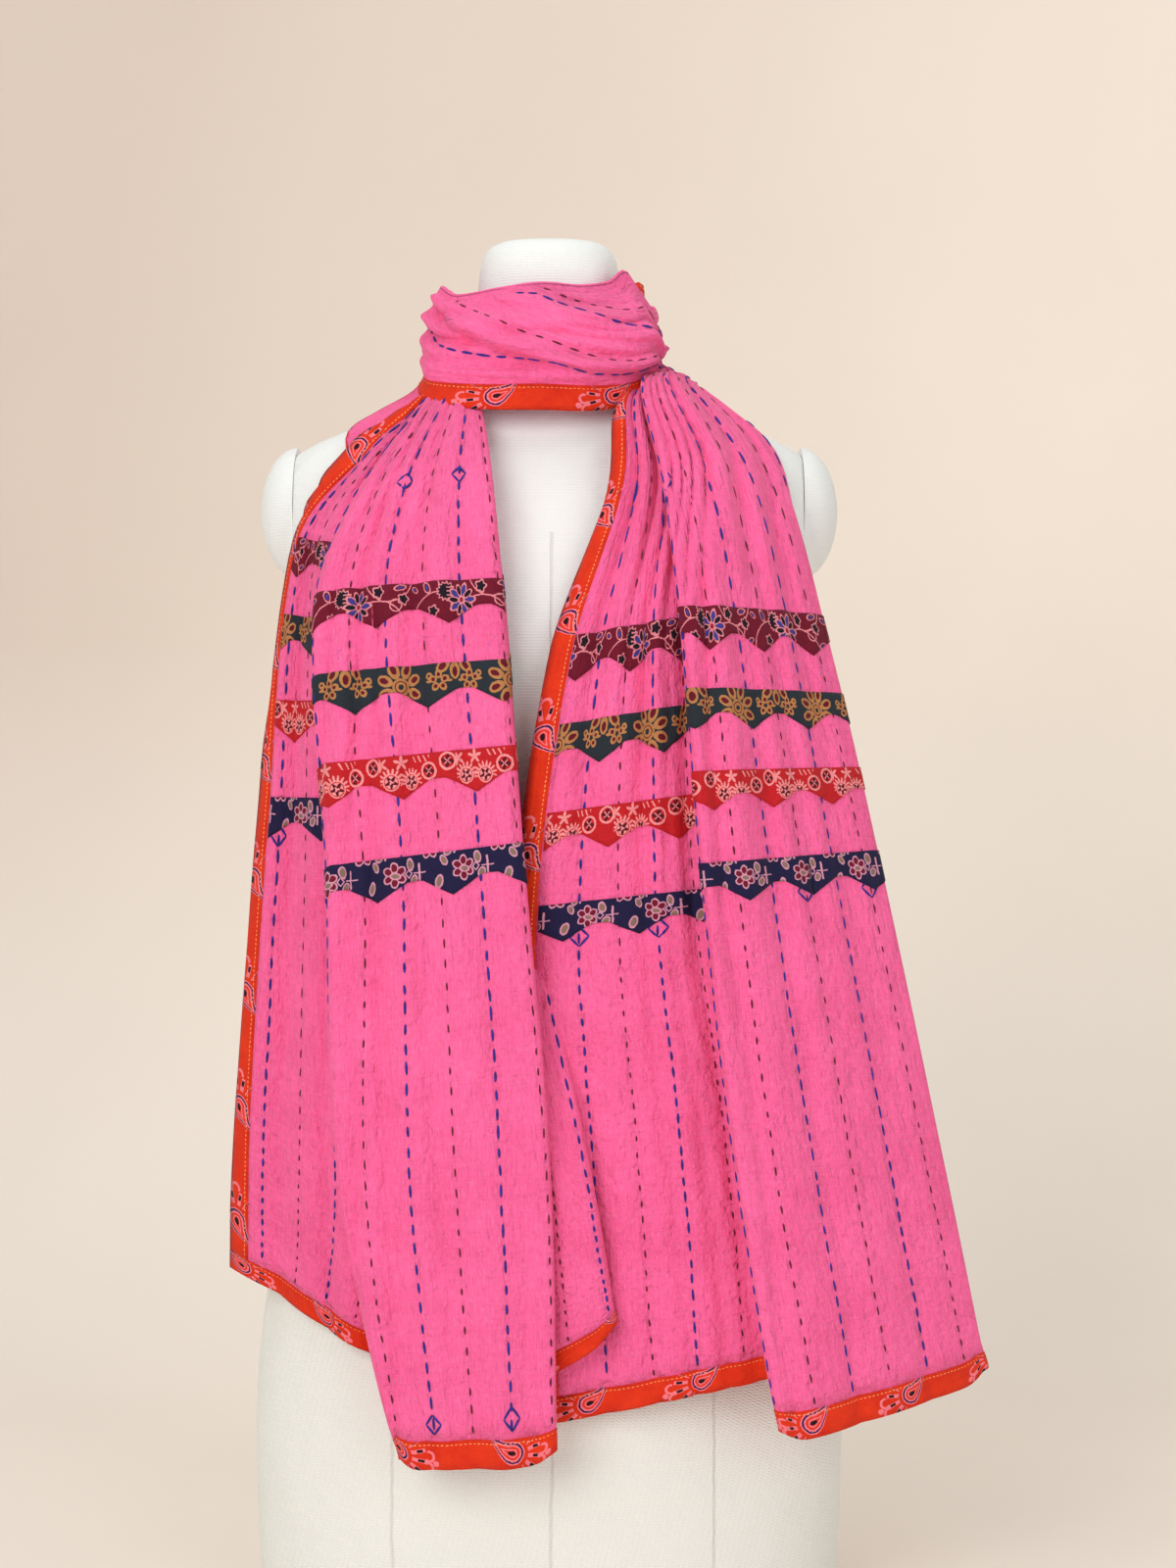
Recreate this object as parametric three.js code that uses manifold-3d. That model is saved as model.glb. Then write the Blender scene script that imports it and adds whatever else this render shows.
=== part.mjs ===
// A cotton kantha stole looped once round the neck of a dress form, both ends hanging at the front.
// Millimetres, +Z up, -Y is the front. The origin is the middle of the form's flat base.
import * as THREE from "three";
import { mergeVertices } from "three/addons/utils/BufferGeometryUtils.js";
import Module from "manifold-3d";

const wasm = await Module();
wasm.setup();

// Driving sizes
const CLOTH_WIDTH = 640; // across the stole, from its outer long edge to its inner one
const CLOTH_THICK = 1.6; // two quilted layers of cotton
const BINDING_WIDTH = 19;
const BINDING_THICK = 2.2;
const STRIP_THICK = 1;
const SEAM_GAP = 0.6; // between pieces that lie edge to edge
const FACE_GAP = 0.5; // between the cloth's face and a strip sewn on it
const CLOTH_CLEARANCE = 4; // between the form and the middle of the cloth's thickness
const SEAT_GAP = 0.6; // where the loop rests on the form
const SETTLE = 4; // how softly cloth that reaches the form is pressed against it
const LAYER_PITCH = 3; // between layers pressed against the form
const FORM_HEIGHT = 901;
const SHOULDER_HALF = 168; // where the form's arm caps are fitted
const SECTION_POWER = 2.4; // 2 is an ellipse, more is squarer

// Along an end, the cloth is measured from its hem.
const STATIONS = { hem: 0, low: 190, strip4: 380, strip1: 553, tuck: 632, collar: 700, shoulder: 760, nape: 820 };
const STRIP_TOPS = { indigo: 392, red: 454, slate: 509, maroon: 561 };
const STRIP_DEPTH = 27; // from a strip's straight edge to its points
const SCALLOP_DEPTH = 11; // from a point up to the notch beside it
const SCALLOP_PITCH = 54;

// The dress form's level sections: half its width, and its depth before and behind the middle.
const FORM_SECTIONS = [
  { z: 0, half: 192, front: 116, back: 112 },
  { z: 60, half: 195, front: 119, back: 116 },
  { z: 150, half: 195, front: 121, back: 119 },
  { z: 240, half: 182, front: 113, back: 111 },
  { z: 330, half: 156, front: 99, back: 96 },
  { z: 410, half: 138, front: 90, back: 84 },
  { z: 500, half: 146, front: 101, back: 88 },
  { z: 570, half: 158, front: 115, back: 94 },
  { z: 620, half: 168, front: 120, back: 98 },
  { z: 680, half: 178, front: 110, back: 100 },
  { z: 725, half: 182, front: 90, back: 95 },
  { z: 752, half: 180, front: 76, back: 86 },
  { z: 768, half: 160, front: 68, back: 78 },
  { z: 782, half: 118, front: 62, back: 72 },
  { z: 797, half: 80, front: 56, back: 64 },
  { z: 815, half: 58, front: 51, back: 56 },
  { z: 845, half: 50, front: 48, back: 50 },
  { z: 884, half: 47, front: 46, back: 47 },
  { z: 896, half: 44, front: 43, back: 44 },
  { z: FORM_HEIGHT, half: 37, front: 36, back: 37 },
];

// Each fold runs the length of an end. cloth is how far it lies from the outer edge of the stole,
// at the hem and higher up; turn is 1 where the next layer lies in front of the last, -1 behind.
const LEFT_FOLDS = [
  {
    name: "outer edge", turn: 0, cloth: 0, clothHem: 0,
    hem: [-207, -62, 226], low: [-203, -64, 342], strip4: [-189, -68, 520], strip1: [-166, -66, 693],
    tuck: [-138, -64, 739], collar: [-88, -58, 787], shoulder: [-116, -6, 790], nape: [-66, 36, 826],
  },
  {
    name: "back fold", turn: 1, cloth: 150, clothHem: 158,
    hem: [-79, -114, 170], low: [-82, -120, 296], strip4: [-97, -126, 518], strip1: [-112, -112, 680],
    tuck: [-98, -90, 736], collar: [-79, -60, 789], shoulder: [-93, -8, 801], nape: [-56, 38, 834],
  },
  {
    name: "panel left", turn: 1, cloth: 195, clothHem: 218,
    hem: [-91, -142, 119], low: [-124, -146, 294], strip4: [-134, -146, 478], strip1: [-142, -128, 651],
    tuck: [-128, -100, 717], collar: [-92, -63, 791], shoulder: [-126, -8, 793], nape: [-69, 38, 832],
  },
  {
    name: "panel right", turn: -1, cloth: 343, clothHem: 343,
    hem: [8, -150, 123], low: [4, -154, 306], strip4: [-12, -156, 492], strip1: [-25, -146, 659],
    tuck: [-34, -120, 736], collar: [-44, -64, 792], shoulder: [-62, -10, 826], nape: [-46, 38, 846],
  },
  {
    name: "inner fold", turn: -1, cloth: 433, clothHem: 433,
    hem: [-44, -128, 146], low: [-47, -134, 315], strip4: [-58, -138, 496], strip1: [-67, -130, 660],
    tuck: [-74, -98, 736], collar: [-65, -60, 789], shoulder: [-79, -8, 808], nape: [-53, 38, 836],
  },
  {
    name: "side fold", turn: -1, cloth: 540, clothHem: 540,
    hem: [40, -112, 200], low: [30, -122, 306], strip4: [-17, -128, 498], strip1: [-31, -126, 663],
    tuck: [-43, -98, 739], collar: [-50, -57, 786], shoulder: [-64, -8, 815], nape: [-46, 36, 838],
  },
  {
    name: "inner edge", turn: 0, cloth: 640, clothHem: 640,
    hem: [-30, -100, 203], low: [-35, -108, 316], strip4: [-72, -112, 504], strip1: [-85, -108, 665],
    tuck: [-90, -82, 739], collar: [-84, -55, 784], shoulder: [-100, -6, 793], nape: [-60, 34, 824],
  },
];

const RIGHT_FOLDS = [
  {
    name: "outer edge", turn: 0, cloth: 0, clothHem: 0,
    hem: [233, -58, 199], low: [211, -60, 336], strip4: [182, -62, 501], strip1: [153, -66, 647],
    tuck: [122, -66, 743], collar: [94, -36, 789], shoulder: [100, 6, 794], nape: [54, 38, 828],
  },
  {
    name: "rear fold", turn: 1, cloth: 84, clothHem: 80,
    hem: [264, -74, 184], low: [240, -76, 324], strip4: [207, -76, 494], strip1: [174, -72, 644],
    tuck: [150, -64, 740], collar: [110, -28, 792], shoulder: [118, 4, 788], nape: [62, 38, 824],
  },
  {
    name: "mid fold", turn: 1, cloth: 172, clothHem: 170,
    hem: [223, -98, 175], low: [201, -98, 320], strip4: [176, -98, 489], strip1: [142, -94, 639],
    tuck: [112, -84, 739], collar: [88, -44, 796], shoulder: [92, 2, 805], nape: [50, 40, 836],
  },
  {
    name: "panel right", turn: 1, cloth: 266, clothHem: 264,
    hem: [276, -100, 161], low: [250, -102, 308], strip4: [214, -98, 487], strip1: [182, -88, 639],
    tuck: [151, -74, 744], collar: [108, -36, 806], shoulder: [114, 0, 804], nape: [60, 40, 834],
  },
  {
    name: "panel left", turn: -1, cloth: 424, clothHem: 424,
    hem: [144, -172, 139], low: [114, -168, 313], strip4: [94, -162, 481], strip1: [82, -146, 641],
    tuck: [78, -118, 730], collar: [68, -76, 800], shoulder: [74, -6, 822], nape: [40, 40, 848],
  },
  {
    name: "back fold", turn: -1, cloth: 475, clothHem: 475,
    hem: [148, -142, 172], low: [135, -142, 318], strip4: [114, -142, 466], strip1: [98, -130, 638],
    tuck: [90, -102, 729], collar: [80, -62, 796], shoulder: [84, -2, 812], nape: [45, 40, 842],
  },
  {
    name: "inner edge", turn: 0, cloth: 640, clothHem: 640,
    hem: [-8, -132, 139], low: [-17, -136, 302], strip4: [-21, -138, 452], strip1: [2, -136, 620],
    tuck: [33, -114, 721], collar: [50, -82, 788], shoulder: [66, -4, 814], nape: [38, 38, 840],
  },
];
const PLEAT_MOST = { hem: 5, low: 5, strip4: 4.5, strip1: 4, tuck: 2.5, collar: 0.6, shoulder: 0.4, nape: 0.4 };
const FOLD_WIDTHS = { hem: 9, low: 9, strip4: 9, strip1: 8, tuck: 6, collar: 4, shoulder: 4, nape: 4 };

// The loop round the neck, by the angle from the front towards the left end.
// low and high are the heights of its edges, and the radii are those of its outer layer.
const LOOP_ROWS = [
  { angle: 0, low: 790, high: 866, lowRadius: 82, highRadius: 64, bulge: 7 },
  { angle: 45, low: 796, high: 864, lowRadius: 90, highRadius: 66, bulge: 8 },
  { angle: 90, low: 804, high: 872, lowRadius: 82, highRadius: 66, bulge: 8 },
  { angle: 135, low: 806, high: 874, lowRadius: 80, highRadius: 64, bulge: 8 },
  { angle: 180, low: 800, high: 872, lowRadius: 84, highRadius: 66, bulge: 9 },
  { angle: 225, low: 804, high: 872, lowRadius: 82, highRadius: 66, bulge: 8 },
  { angle: 270, low: 812, high: 874, lowRadius: 80, highRadius: 70, bulge: 8 },
  { angle: 315, low: 802, high: 880, lowRadius: 84, highRadius: 66, bulge: 8 },
];
const LOOP_CENTRE = -5;
const LOOP_AROUND = 24;
const LOOP_PITCH = 4.6; // between the loop's five layers
const GROOVE = { width: 1.6, depth: 14 }; // between two folds of the loop

// How finely the solids follow each layer and fold, from the outer edge inwards
const LEFT_STEPS = { layers: [5, 2, 7, 2, 3, 2], fold: 1 };
const RIGHT_STEPS = { layers: [2, 1, 2, 8, 2, 6], fold: 1 };
const END_ROWS = [85, 180, 280]; // between the hem's binding and the lowest strip, from the hem
const UPPER_ROWS = [600, 640, 672, 700, 722, 745, 772, 818];

// Interpolates a table's named value smoothly between rows that are sorted by key.
function smoothValue(rows, key, name, at) {
  const last = rows.length - 1;
  const clamped = Math.min(Math.max(at, rows[0][key]), rows[last][key]);
  const i = Math.min(rows.findLastIndex((row) => row[key] <= clamped), last - 1);
  const slope = (k) => {
    const before = rows[Math.max(k - 1, 0)];
    const after = rows[Math.min(k + 1, last)];
    return (after[name] - before[name]) / (after[key] - before[key]);
  };
  return hermite(rows[i][key], rows[i][name], slope(i), rows[i + 1][key], rows[i + 1][name], slope(i + 1), clamped);
}

// A cubic from (t0, a) to (t1, b) with those slopes.
function hermite(t0, a, slopeA, t1, b, slopeB, t) {
  const h = t1 - t0;
  const x = (t - t0) / h;
  const x2 = x * x;
  const x3 = x2 * x;
  return (
    a * (2 * x3 - 3 * x2 + 1) + slopeA * h * (x3 - 2 * x2 + x) + b * (3 * x2 - 2 * x3) + slopeB * h * (x3 - x2)
  );
}

// The dress form's section at a height.
function formSection(z) {
  const [half, front, back] = ["half", "front", "back"].map((name) => smoothValue(FORM_SECTIONS, "z", name, z));
  return { half, front, back };
}

// Moves a point of the cloth off the form. Each layer keeps its own least distance, so they stay in order.
function offTheForm(p, layer, clearance = CLOTH_CLEARANCE) {
  const reach = Math.hypot(p.x, p.y);
  if (p.z > FORM_HEIGHT || reach < 1) return p;
  const { half, front, back } = formSection(p.z);
  const depth = p.y < 0 ? front : back;
  const share = ((Math.abs(p.x) / half) ** SECTION_POWER + (Math.abs(p.y) / depth) ** SECTION_POWER) ** (1 / SECTION_POWER);
  const surface = reach / share + clearance + layer * LAYER_PITCH;
  const distance = reach - surface;
  const pressed = distance > 8 * SETTLE ? distance : SETTLE * Math.log(1 + Math.exp(distance / SETTLE));
  const scale = (surface + pressed) / reach;
  return new THREE.Vector3(p.x * scale, p.y * scale, p.z);
}

// The knots of one section: where the curve passes, its slope, and the cloth's width there.
// folds holds { u, p, turn, width }, and forward is the way the layers are stacked.
function sectionKnots(folds, forward, bulges) {
  const knots = [];
  const along = folds.slice(1).map((fold, i) => fold.p.clone().sub(folds[i].p));
  along.forEach((way) => way.addScaledVector(forward, -way.dot(forward)).normalize());
  let layer = 0;
  folds.forEach((fold, i) => {
    if (fold.turn === 0) {
      knots.push({ u: fold.u, p: fold.p.clone(), layer });
      return;
    }
    const arc = (Math.PI * fold.width) / 4;
    const step = forward.clone().multiplyScalar((fold.turn * fold.width) / 2);
    const tip = along[i - 1].clone().multiplyScalar(fold.width / 2);
    const over = forward.clone().multiplyScalar(fold.turn);
    knots.push({ u: fold.u - arc, p: fold.p.clone().sub(step), slope: along[i - 1], layer });
    knots.push({ u: fold.u, p: fold.p.clone().add(tip), slope: over, layer: layer + fold.turn / 2 });
    layer += fold.turn;
    knots.push({ u: fold.u + arc, p: fold.p.clone().add(step), slope: along[i - 1].clone().negate(), layer });
  });
  const lowest = Math.min(...knots.map((knot) => knot.layer));
  knots.forEach((knot) => (knot.layer -= lowest));
  return { knots, forward, bulges };
}

function layerAt({ knots }, j, t) {
  return knots[j].layer + (knots[j + 1].layer - knots[j].layer) * t;
}

// The point of a section at knot interval j and share t of it.
function sectionPoint({ knots, forward, bulges }, j, t) {
  const a = knots[j];
  const b = knots[j + 1];
  const du = b.u - a.u;
  let slopeA = a.slope;
  let slopeB = b.slope;
  if (j % 3 === 0) {
    const chord = b.p.clone().sub(a.p).divideScalar(du);
    slopeA = chord.clone().addScaledVector(forward, bulges[j / 3]);
    slopeB = chord.clone().addScaledVector(forward, -bulges[j / 3]);
  }
  const mix = (axis) => hermite(0, a.p[axis], slopeA[axis] * du, 1, b.p[axis], slopeB[axis] * du, t);
  return new THREE.Vector3(mix("x"), mix("y"), mix("z"));
}

// Where each column of a section lies, as knot interval and share, with the cloth's width.
// The first and last three columns are the bindings', which keep their width where the cloth is gathered.
function columnPlaces({ knots }, steps) {
  const places = [];
  const last = knots.length - 2;
  const chord = (j) => knots[j].p.distanceTo(knots[j + 1].p);
  const spread = (fromEdge, j) => {
    const band = Math.min(BINDING_WIDTH / chord(j), 0.45);
    const seam = band + Math.min(SEAM_GAP / chord(j), 0.1);
    const width = Math.abs(knots[j + 1].u - knots[j].u);
    if (fromEdge <= BINDING_WIDTH) return (band * fromEdge) / BINDING_WIDTH;
    return seam + ((1 - seam) * (fromEdge - INNER_FROM)) / (width - INNER_FROM);
  };
  const add = (j, u) => {
    const along = (u - knots[j].u) / (knots[j + 1].u - knots[j].u);
    const t = j === 0 ? spread(u, j) : j === last ? 1 - spread(CLOTH_WIDTH - u, j) : along;
    places.push({ j, u, t });
  };
  [0, BINDING_WIDTH / 2, BINDING_WIDTH].forEach((u) => add(0, u));
  for (let j = 0; j <= last; j++) {
    const parts = j % 3 === 0 ? steps.layers[j / 3] : steps.fold;
    const [start, end] = [j === 0 ? INNER_FROM : knots[j].u, j === last ? INNER_TO : knots[j + 1].u];
    for (let i = 0; i < parts; i++) add(j, start + ((end - start) * i) / parts);
  }
  [INNER_TO, CLOTH_WIDTH - BINDING_WIDTH, CLOTH_WIDTH - BINDING_WIDTH / 2, CLOTH_WIDTH].forEach((u) => add(last, u));
  return places;
}
const INNER_FROM = BINDING_WIDTH + SEAM_GAP;
const INNER_TO = CLOTH_WIDTH - INNER_FROM;

// Small pleats take up cloth that is wider than the space it hangs in.
function pleat(section, j, t, count, phase) {
  if (j % 3 !== 0 || !count) return 0;
  const { knots } = section;
  const du = knots[j + 1].u - knots[j].u;
  const chord = knots[j + 1].p.distanceTo(knots[j].p) / du;
  const slack = Math.sqrt(Math.max(0, 1 - chord * chord));
  const amplitude = Math.min((PLEAT_SHARE * slack * du) / (2 * Math.PI * count), section.pleatMost);
  const fade = Math.sqrt(Math.max(0, Math.sin(Math.PI * t)));
  return amplitude * fade * Math.sin(2 * Math.PI * count * t + phase * Math.sin(Math.PI * t));
}
const PLEAT_SHARE = 0.75;

// One end of the stole.
const BULGES_LEFT = [0.05, 0, 0.12, 0, 0, 0];
const BULGES_RIGHT = [0, 0, 0, 0.14, 0, 0.06];
const PLEATS_LEFT = [2, 0, 3, 0, 2, 0];
const PLEATS_RIGHT = [0, 0, 0, 4, 0, 3];
const LEANS = { hem: 0, low: 0, strip4: 0, strip1: 5, tuck: 15, collar: 50, shoulder: 85, nape: 120 };

function endSection(folds, bulges, v) {
  const names = Object.keys(STATIONS);
  const rows = (fold) =>
    names.map((name) => ({
      v: STATIONS[name],
      x: fold[name][0],
      y: fold[name][1],
      z: fold[name][2],
      width: FOLD_WIDTHS[name],
      u: name === "hem" || name === "low" ? (name === "hem" ? fold.clothHem : (fold.clothHem + fold.cloth) / 2) : fold.cloth,
    }));
  const at = folds.map((fold) => {
    const table = rows(fold);
    const value = (name) => smoothValue(table, "v", name, v);
    return {
      u: value("u"),
      turn: fold.turn,
      width: value("width"),
      p: new THREE.Vector3(value("x"), value("y"), value("z")),
    };
  });
  const leans = names.map((name) => ({ v: STATIONS[name], lean: LEANS[name] }));
  const lean = THREE.MathUtils.degToRad(smoothValue(leans, "v", "lean", v));
  const forward = new THREE.Vector3(0, -Math.cos(lean), Math.sin(lean));
  const most = names.map((name) => ({ v: STATIONS[name], most: PLEAT_MOST[name] }));
  return { ...sectionKnots(at, forward, bulges), pleatMost: smoothValue(most, "v", "most", v) };
}

function endPoint(section, place, pleats) {
  const p = sectionPoint(section, place.j, place.t);
  p.addScaledVector(section.forward, pleat(section, place.j, place.t, pleats[place.j / 3], 1));
  return offTheForm(p, layerAt(section, place.j, place.t));
}

// A grid of points on an end: rows along the cloth, columns across it.
function endGrid(end, rowsAt) {
  return rowsAt.map((v) => {
    const section = endSection(end.folds, end.bulges, v);
    return columnPlaces(section, end.steps).map((place) => ({ u: place.u, v, p: endPoint(section, place, end.pleats) }));
  });
}

const LEFT_END = { folds: LEFT_FOLDS, bulges: BULGES_LEFT, pleats: PLEATS_LEFT, steps: LEFT_STEPS, side: 1 };
const RIGHT_END = { folds: RIGHT_FOLDS, bulges: BULGES_RIGHT, pleats: PLEATS_RIGHT, steps: RIGHT_STEPS, side: -1 };

// Values of the loop's table at an angle, in degrees.
function loopValues(angle) {
  const turned = LOOP_ROWS.map((row) => ({ ...row, angle: row.angle + 360 }));
  const rows = [{ ...LOOP_ROWS[7], angle: LOOP_ROWS[7].angle - 360 }, ...LOOP_ROWS, ...turned.slice(0, 2)];
  const value = (name) => smoothValue(rows, "angle", name, angle);
  return ["low", "high", "lowRadius", "highRadius", "bulge"].map(value);
}

// A point of the loop at an angle: share is the way up from the lower edge, inset the way in from the outer layer.
function loopPoint(angle, share, inset, rise = 0) {
  const [low, high, lowRadius, highRadius, bulge] = loopValues(angle);
  const rad = THREE.MathUtils.degToRad(angle);
  const ridge = LOOP_RIDGE * Math.sin(2 * Math.PI * (2.6 * share + angle / 120)) * Math.sin(Math.PI * share);
  const swell = bulge * Math.sin(Math.PI * share) * (1 - inset / 40) + (inset < 3 ? ridge : 0);
  const radius = lowRadius + (highRadius - lowRadius) * share + swell - inset;
  const p = new THREE.Vector3(LOOP_CENTRE - radius * Math.sin(rad), -radius * Math.cos(rad), low + (high - low) * share + rise);
  return offTheForm(p, 0, LOOP_CLEARANCE);
}
const LOOP_RIDGE = 1.6;
const LOOP_CLEARANCE = 1.7; // the softened fit adds to it where the loop rests on the form

// The outline of the gathered loop's section: share and inset of each point, going up the outer face.
function loopOutline() {
  const half = CLOTH_THICK / 2;
  const [lowest, highest] = [0, 1];
  const flap = 0.26;
  const points = [
    [flap, half, 0],
    [flap, -half, 0],
  ];
  for (const share of [0.38, 0.5, 0.62, 0.74, 0.86, 0.95]) points.push([share, -half, 0]);
  const fold = (share, from, to, way) => {
    points.push([share, from, -way * 1.6], [share, (from + to) / 2, 0], [share, to, -way * 1.6]);
  };
  const groove = (share, middle, way) => {
    points.push([share, middle - GROOVE.width / 2, -way * GROOVE.depth], [share, middle + GROOVE.width / 2, -way * GROOVE.depth]);
  };
  fold(highest, -half, LOOP_PITCH + half, 1);
  groove(highest, 1.5 * LOOP_PITCH, 1);
  fold(highest, 2 * LOOP_PITCH - half, 3 * LOOP_PITCH + half, 1);
  points.push([highest, 3.5 * LOOP_PITCH, -24], [highest, 4 * LOOP_PITCH - half, -24.3], [highest, 4 * LOOP_PITCH + half, -24.3]);
  points.push([0.35, 4 * LOOP_PITCH + half, 0]);
  fold(lowest, 4 * LOOP_PITCH + half, 3 * LOOP_PITCH - half, -1);
  groove(lowest, 2.5 * LOOP_PITCH, -1);
  fold(lowest, 2 * LOOP_PITCH + half, LOOP_PITCH - half + 0.8, -1);
  points.push([flap, LOOP_PITCH / 2 + 0.8, 8]);
  points.push([flap, half, 8]);
  return points.slice(0, -1);
}

// A ring, or an arc of one between two angles, whose section is a list of [share, inset, rise].
function ringGeometry(outline, from = 0, to = 360) {
  const closed = to - from === 360;
  const parts = Math.round((LOOP_AROUND * (to - from)) / 360);
  const positions = [];
  const index = [];
  const count = outline.length;
  const stops = closed ? parts : parts + 1;
  for (let i = 0; i < stops; i++)
    for (const [share, inset, rise] of outline) {
      const p = loopPoint((from + ((to - from) * i) / parts + 360) % 360, share, inset, rise);
      positions.push(p.x, p.y, p.z);
    }
  for (let i = 0; i < parts; i++)
    for (let k = 0; k < count; k++) {
      const [a, b] = [i * count, ((i + 1) % stops) * count];
      const next = (k + 1) % count;
      index.push(a + k, a + next, b + next, a + k, b + next, b + k);
    }
  if (!closed) {
    const end = parts * count;
    for (let k = 1; k < count - 1; k++) index.push(0, k + 1, k, end, end + k, end + k + 1);
  }
  const geometry = new THREE.BufferGeometry();
  geometry.setAttribute("position", new THREE.Float32BufferAttribute(positions, 3));
  geometry.setIndex(index);
  return geometry;
}

// The cloth's face normal at each point of a grid.
function gridNormals(grid, side) {
  const [rows, columns] = [grid.length, grid[0].length];
  return grid.map((row, r) =>
    row.map((_, c) => {
      const alongCloth = grid[Math.min(r + 1, rows - 1)][c].p.clone().sub(grid[Math.max(r - 1, 0)][c].p);
      const across = row[Math.min(c + 1, columns - 1)].p.clone().sub(row[Math.max(c - 1, 0)].p);
      return across.cross(alongCloth).normalize().multiplyScalar(side);
    }),
  );
}

// A closed solid between two offsets of a grid, measured along its normals.
function thickSheet(grid, normals, inner, outer, side) {
  const [rows, columns] = [grid.length, grid[0].length];
  const positions = [];
  const index = [];
  for (const offset of [outer, inner])
    grid.forEach((row, r) =>
      row.forEach((point, c) => {
        const p = point.p.clone().addScaledVector(normals[r][c], offset);
        positions.push(p.x, p.y, p.z);
      }),
    );
  const at = (layer, r, c) => layer * rows * columns + r * columns + c;
  const quad = (a, b, c, d) => {
    if (side > 0) index.push(a, b, c, a, c, d);
    else index.push(a, c, b, a, d, c);
  };
  const [lastRow, lastColumn] = [rows - 1, columns - 1];
  for (let r = 0; r < lastRow; r++) {
    for (let c = 0; c < lastColumn; c++) {
      quad(at(0, r, c), at(0, r, c + 1), at(0, r + 1, c + 1), at(0, r + 1, c));
      quad(at(1, r, c), at(1, r + 1, c), at(1, r + 1, c + 1), at(1, r, c + 1));
    }
    quad(at(0, r, 0), at(0, r + 1, 0), at(1, r + 1, 0), at(1, r, 0));
    quad(at(0, r, lastColumn), at(1, r, lastColumn), at(1, r + 1, lastColumn), at(0, r + 1, lastColumn));
  }
  for (let c = 0; c < lastColumn; c++) {
    quad(at(0, 0, c), at(1, 0, c), at(1, 0, c + 1), at(0, 0, c + 1));
    quad(at(0, lastRow, c), at(0, lastRow, c + 1), at(1, lastRow, c + 1), at(1, lastRow, c));
  }
  const geometry = new THREE.BufferGeometry();
  geometry.setAttribute("position", new THREE.Float32BufferAttribute(positions, 3));
  geometry.setIndex(index);
  return geometry;
}

// manifold-3d joins and cuts.
function solidOf(geometry) {
  const merged = mergeVertices(geometry, 1e-4);
  return new wasm.Manifold(
    new wasm.Mesh({
      numProp: 3,
      vertProperties: merged.attributes.position.array,
      triVerts: new Uint32Array(merged.index.array),
    }),
  );
}

function geometryOf(solid) {
  const mesh = solid.getMesh();
  const geometry = new THREE.BufferGeometry();
  geometry.setAttribute("position", new THREE.Float32BufferAttribute(mesh.vertProperties, 3));
  geometry.setIndex(new THREE.Uint32BufferAttribute(mesh.triVerts, 1));
  return geometry;
}

// Colours from the photograph
const MATERIALS = {
  pinkCotton: { color: 0xe8559a, roughness: 0.9 },
  orangePrint: { color: 0xd8330f, roughness: 0.85 },
  maroonPrint: { color: 0x6d0f26, roughness: 0.85 },
  slatePrint: { color: 0x27323a, roughness: 0.85 },
  redPrint: { color: 0xb02025, roughness: 0.85 },
  indigoPrint: { color: 0x15133a, roughness: 0.85 },
  whiteJersey: { color: 0xe6e4de, roughness: 0.8 },
};
const object = new THREE.Group();

function addPiece(name, geometry, material) {
  const mesh = new THREE.Mesh(geometry, new THREE.MeshStandardMaterial({ ...MATERIALS[material], metalness: 0 }));
  mesh.name = name;
  object.add(mesh);
}

// Dress form
const AROUND = 28;
const superellipse = (value) => Math.sign(value) * Math.abs(value) ** (2 / SECTION_POWER);

function formGeometry(grow = 0) {
  const positions = [];
  const index = [];
  const heights = FORM_SECTIONS.map((row) => row.z);
  for (const z of heights) {
    const { half, front, back } = formSection(z);
    for (let i = 0; i < AROUND; i++) {
      const a = (i / AROUND) * 2 * Math.PI;
      const y = superellipse(Math.sin(a));
      const depth = (y < 0 ? front : back) + grow;
      positions.push((half + grow) * superellipse(Math.cos(a)), y * depth, z);
    }
  }
  const foot = positions.length / 3;
  positions.push(0, 0, 0, 0, 0, FORM_HEIGHT);
  for (let i = 0; i < AROUND; i++) {
    const next = (i + 1) % AROUND;
    for (let r = 0; r < heights.length - 1; r++) {
      const [a, b] = [r * AROUND + i, r * AROUND + next];
      index.push(a, b, b + AROUND, a, b + AROUND, a + AROUND);
    }
    const top = (heights.length - 1) * AROUND;
    index.push(foot, next, i, foot + 1, top + i, top + next);
  }
  const geometry = new THREE.BufferGeometry();
  geometry.setAttribute("position", new THREE.Float32BufferAttribute(positions, 3));
  geometry.setIndex(index);
  return geometry;
}

const ARM_CAP = { half: 42, height: 44, middle: 722, bulge: 25, rings: 4, around: 20 };

// The form is cut flat at each shoulder, where a domed arm cap is fitted.
function shoulderCut(side) {
  const cut = new THREE.BoxGeometry(60, 240, 150);
  ["normal", "uv"].forEach((name) => cut.deleteAttribute(name));
  cut.translate(side * (SHOULDER_HALF + 30), 0, 725);
  return solidOf(cut);
}

function armCap(side) {
  const points = [new THREE.Vector2(0, 0)];
  for (let i = 0; i <= ARM_CAP.rings; i++) {
    const a = (i / ARM_CAP.rings) * (Math.PI / 2);
    points.push(new THREE.Vector2(Math.max(0, Math.cos(a)), Math.sin(a) ** 0.9 * ARM_CAP.bulge));
  }
  points[points.length - 1].x = 0;
  const cap = new THREE.LatheGeometry(points, ARM_CAP.around);
  ["normal", "uv"].forEach((name) => cap.deleteAttribute(name));
  cap.scale(ARM_CAP.height, 1, ARM_CAP.half);
  cap.rotateZ(-Math.PI / 2);
  if (side < 0) cap.rotateZ(Math.PI);
  cap.translate(side * (SHOULDER_HALF + SEAM_GAP), 0, ARM_CAP.middle);
  return mergeVertices(cap, 1e-3);
}

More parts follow.
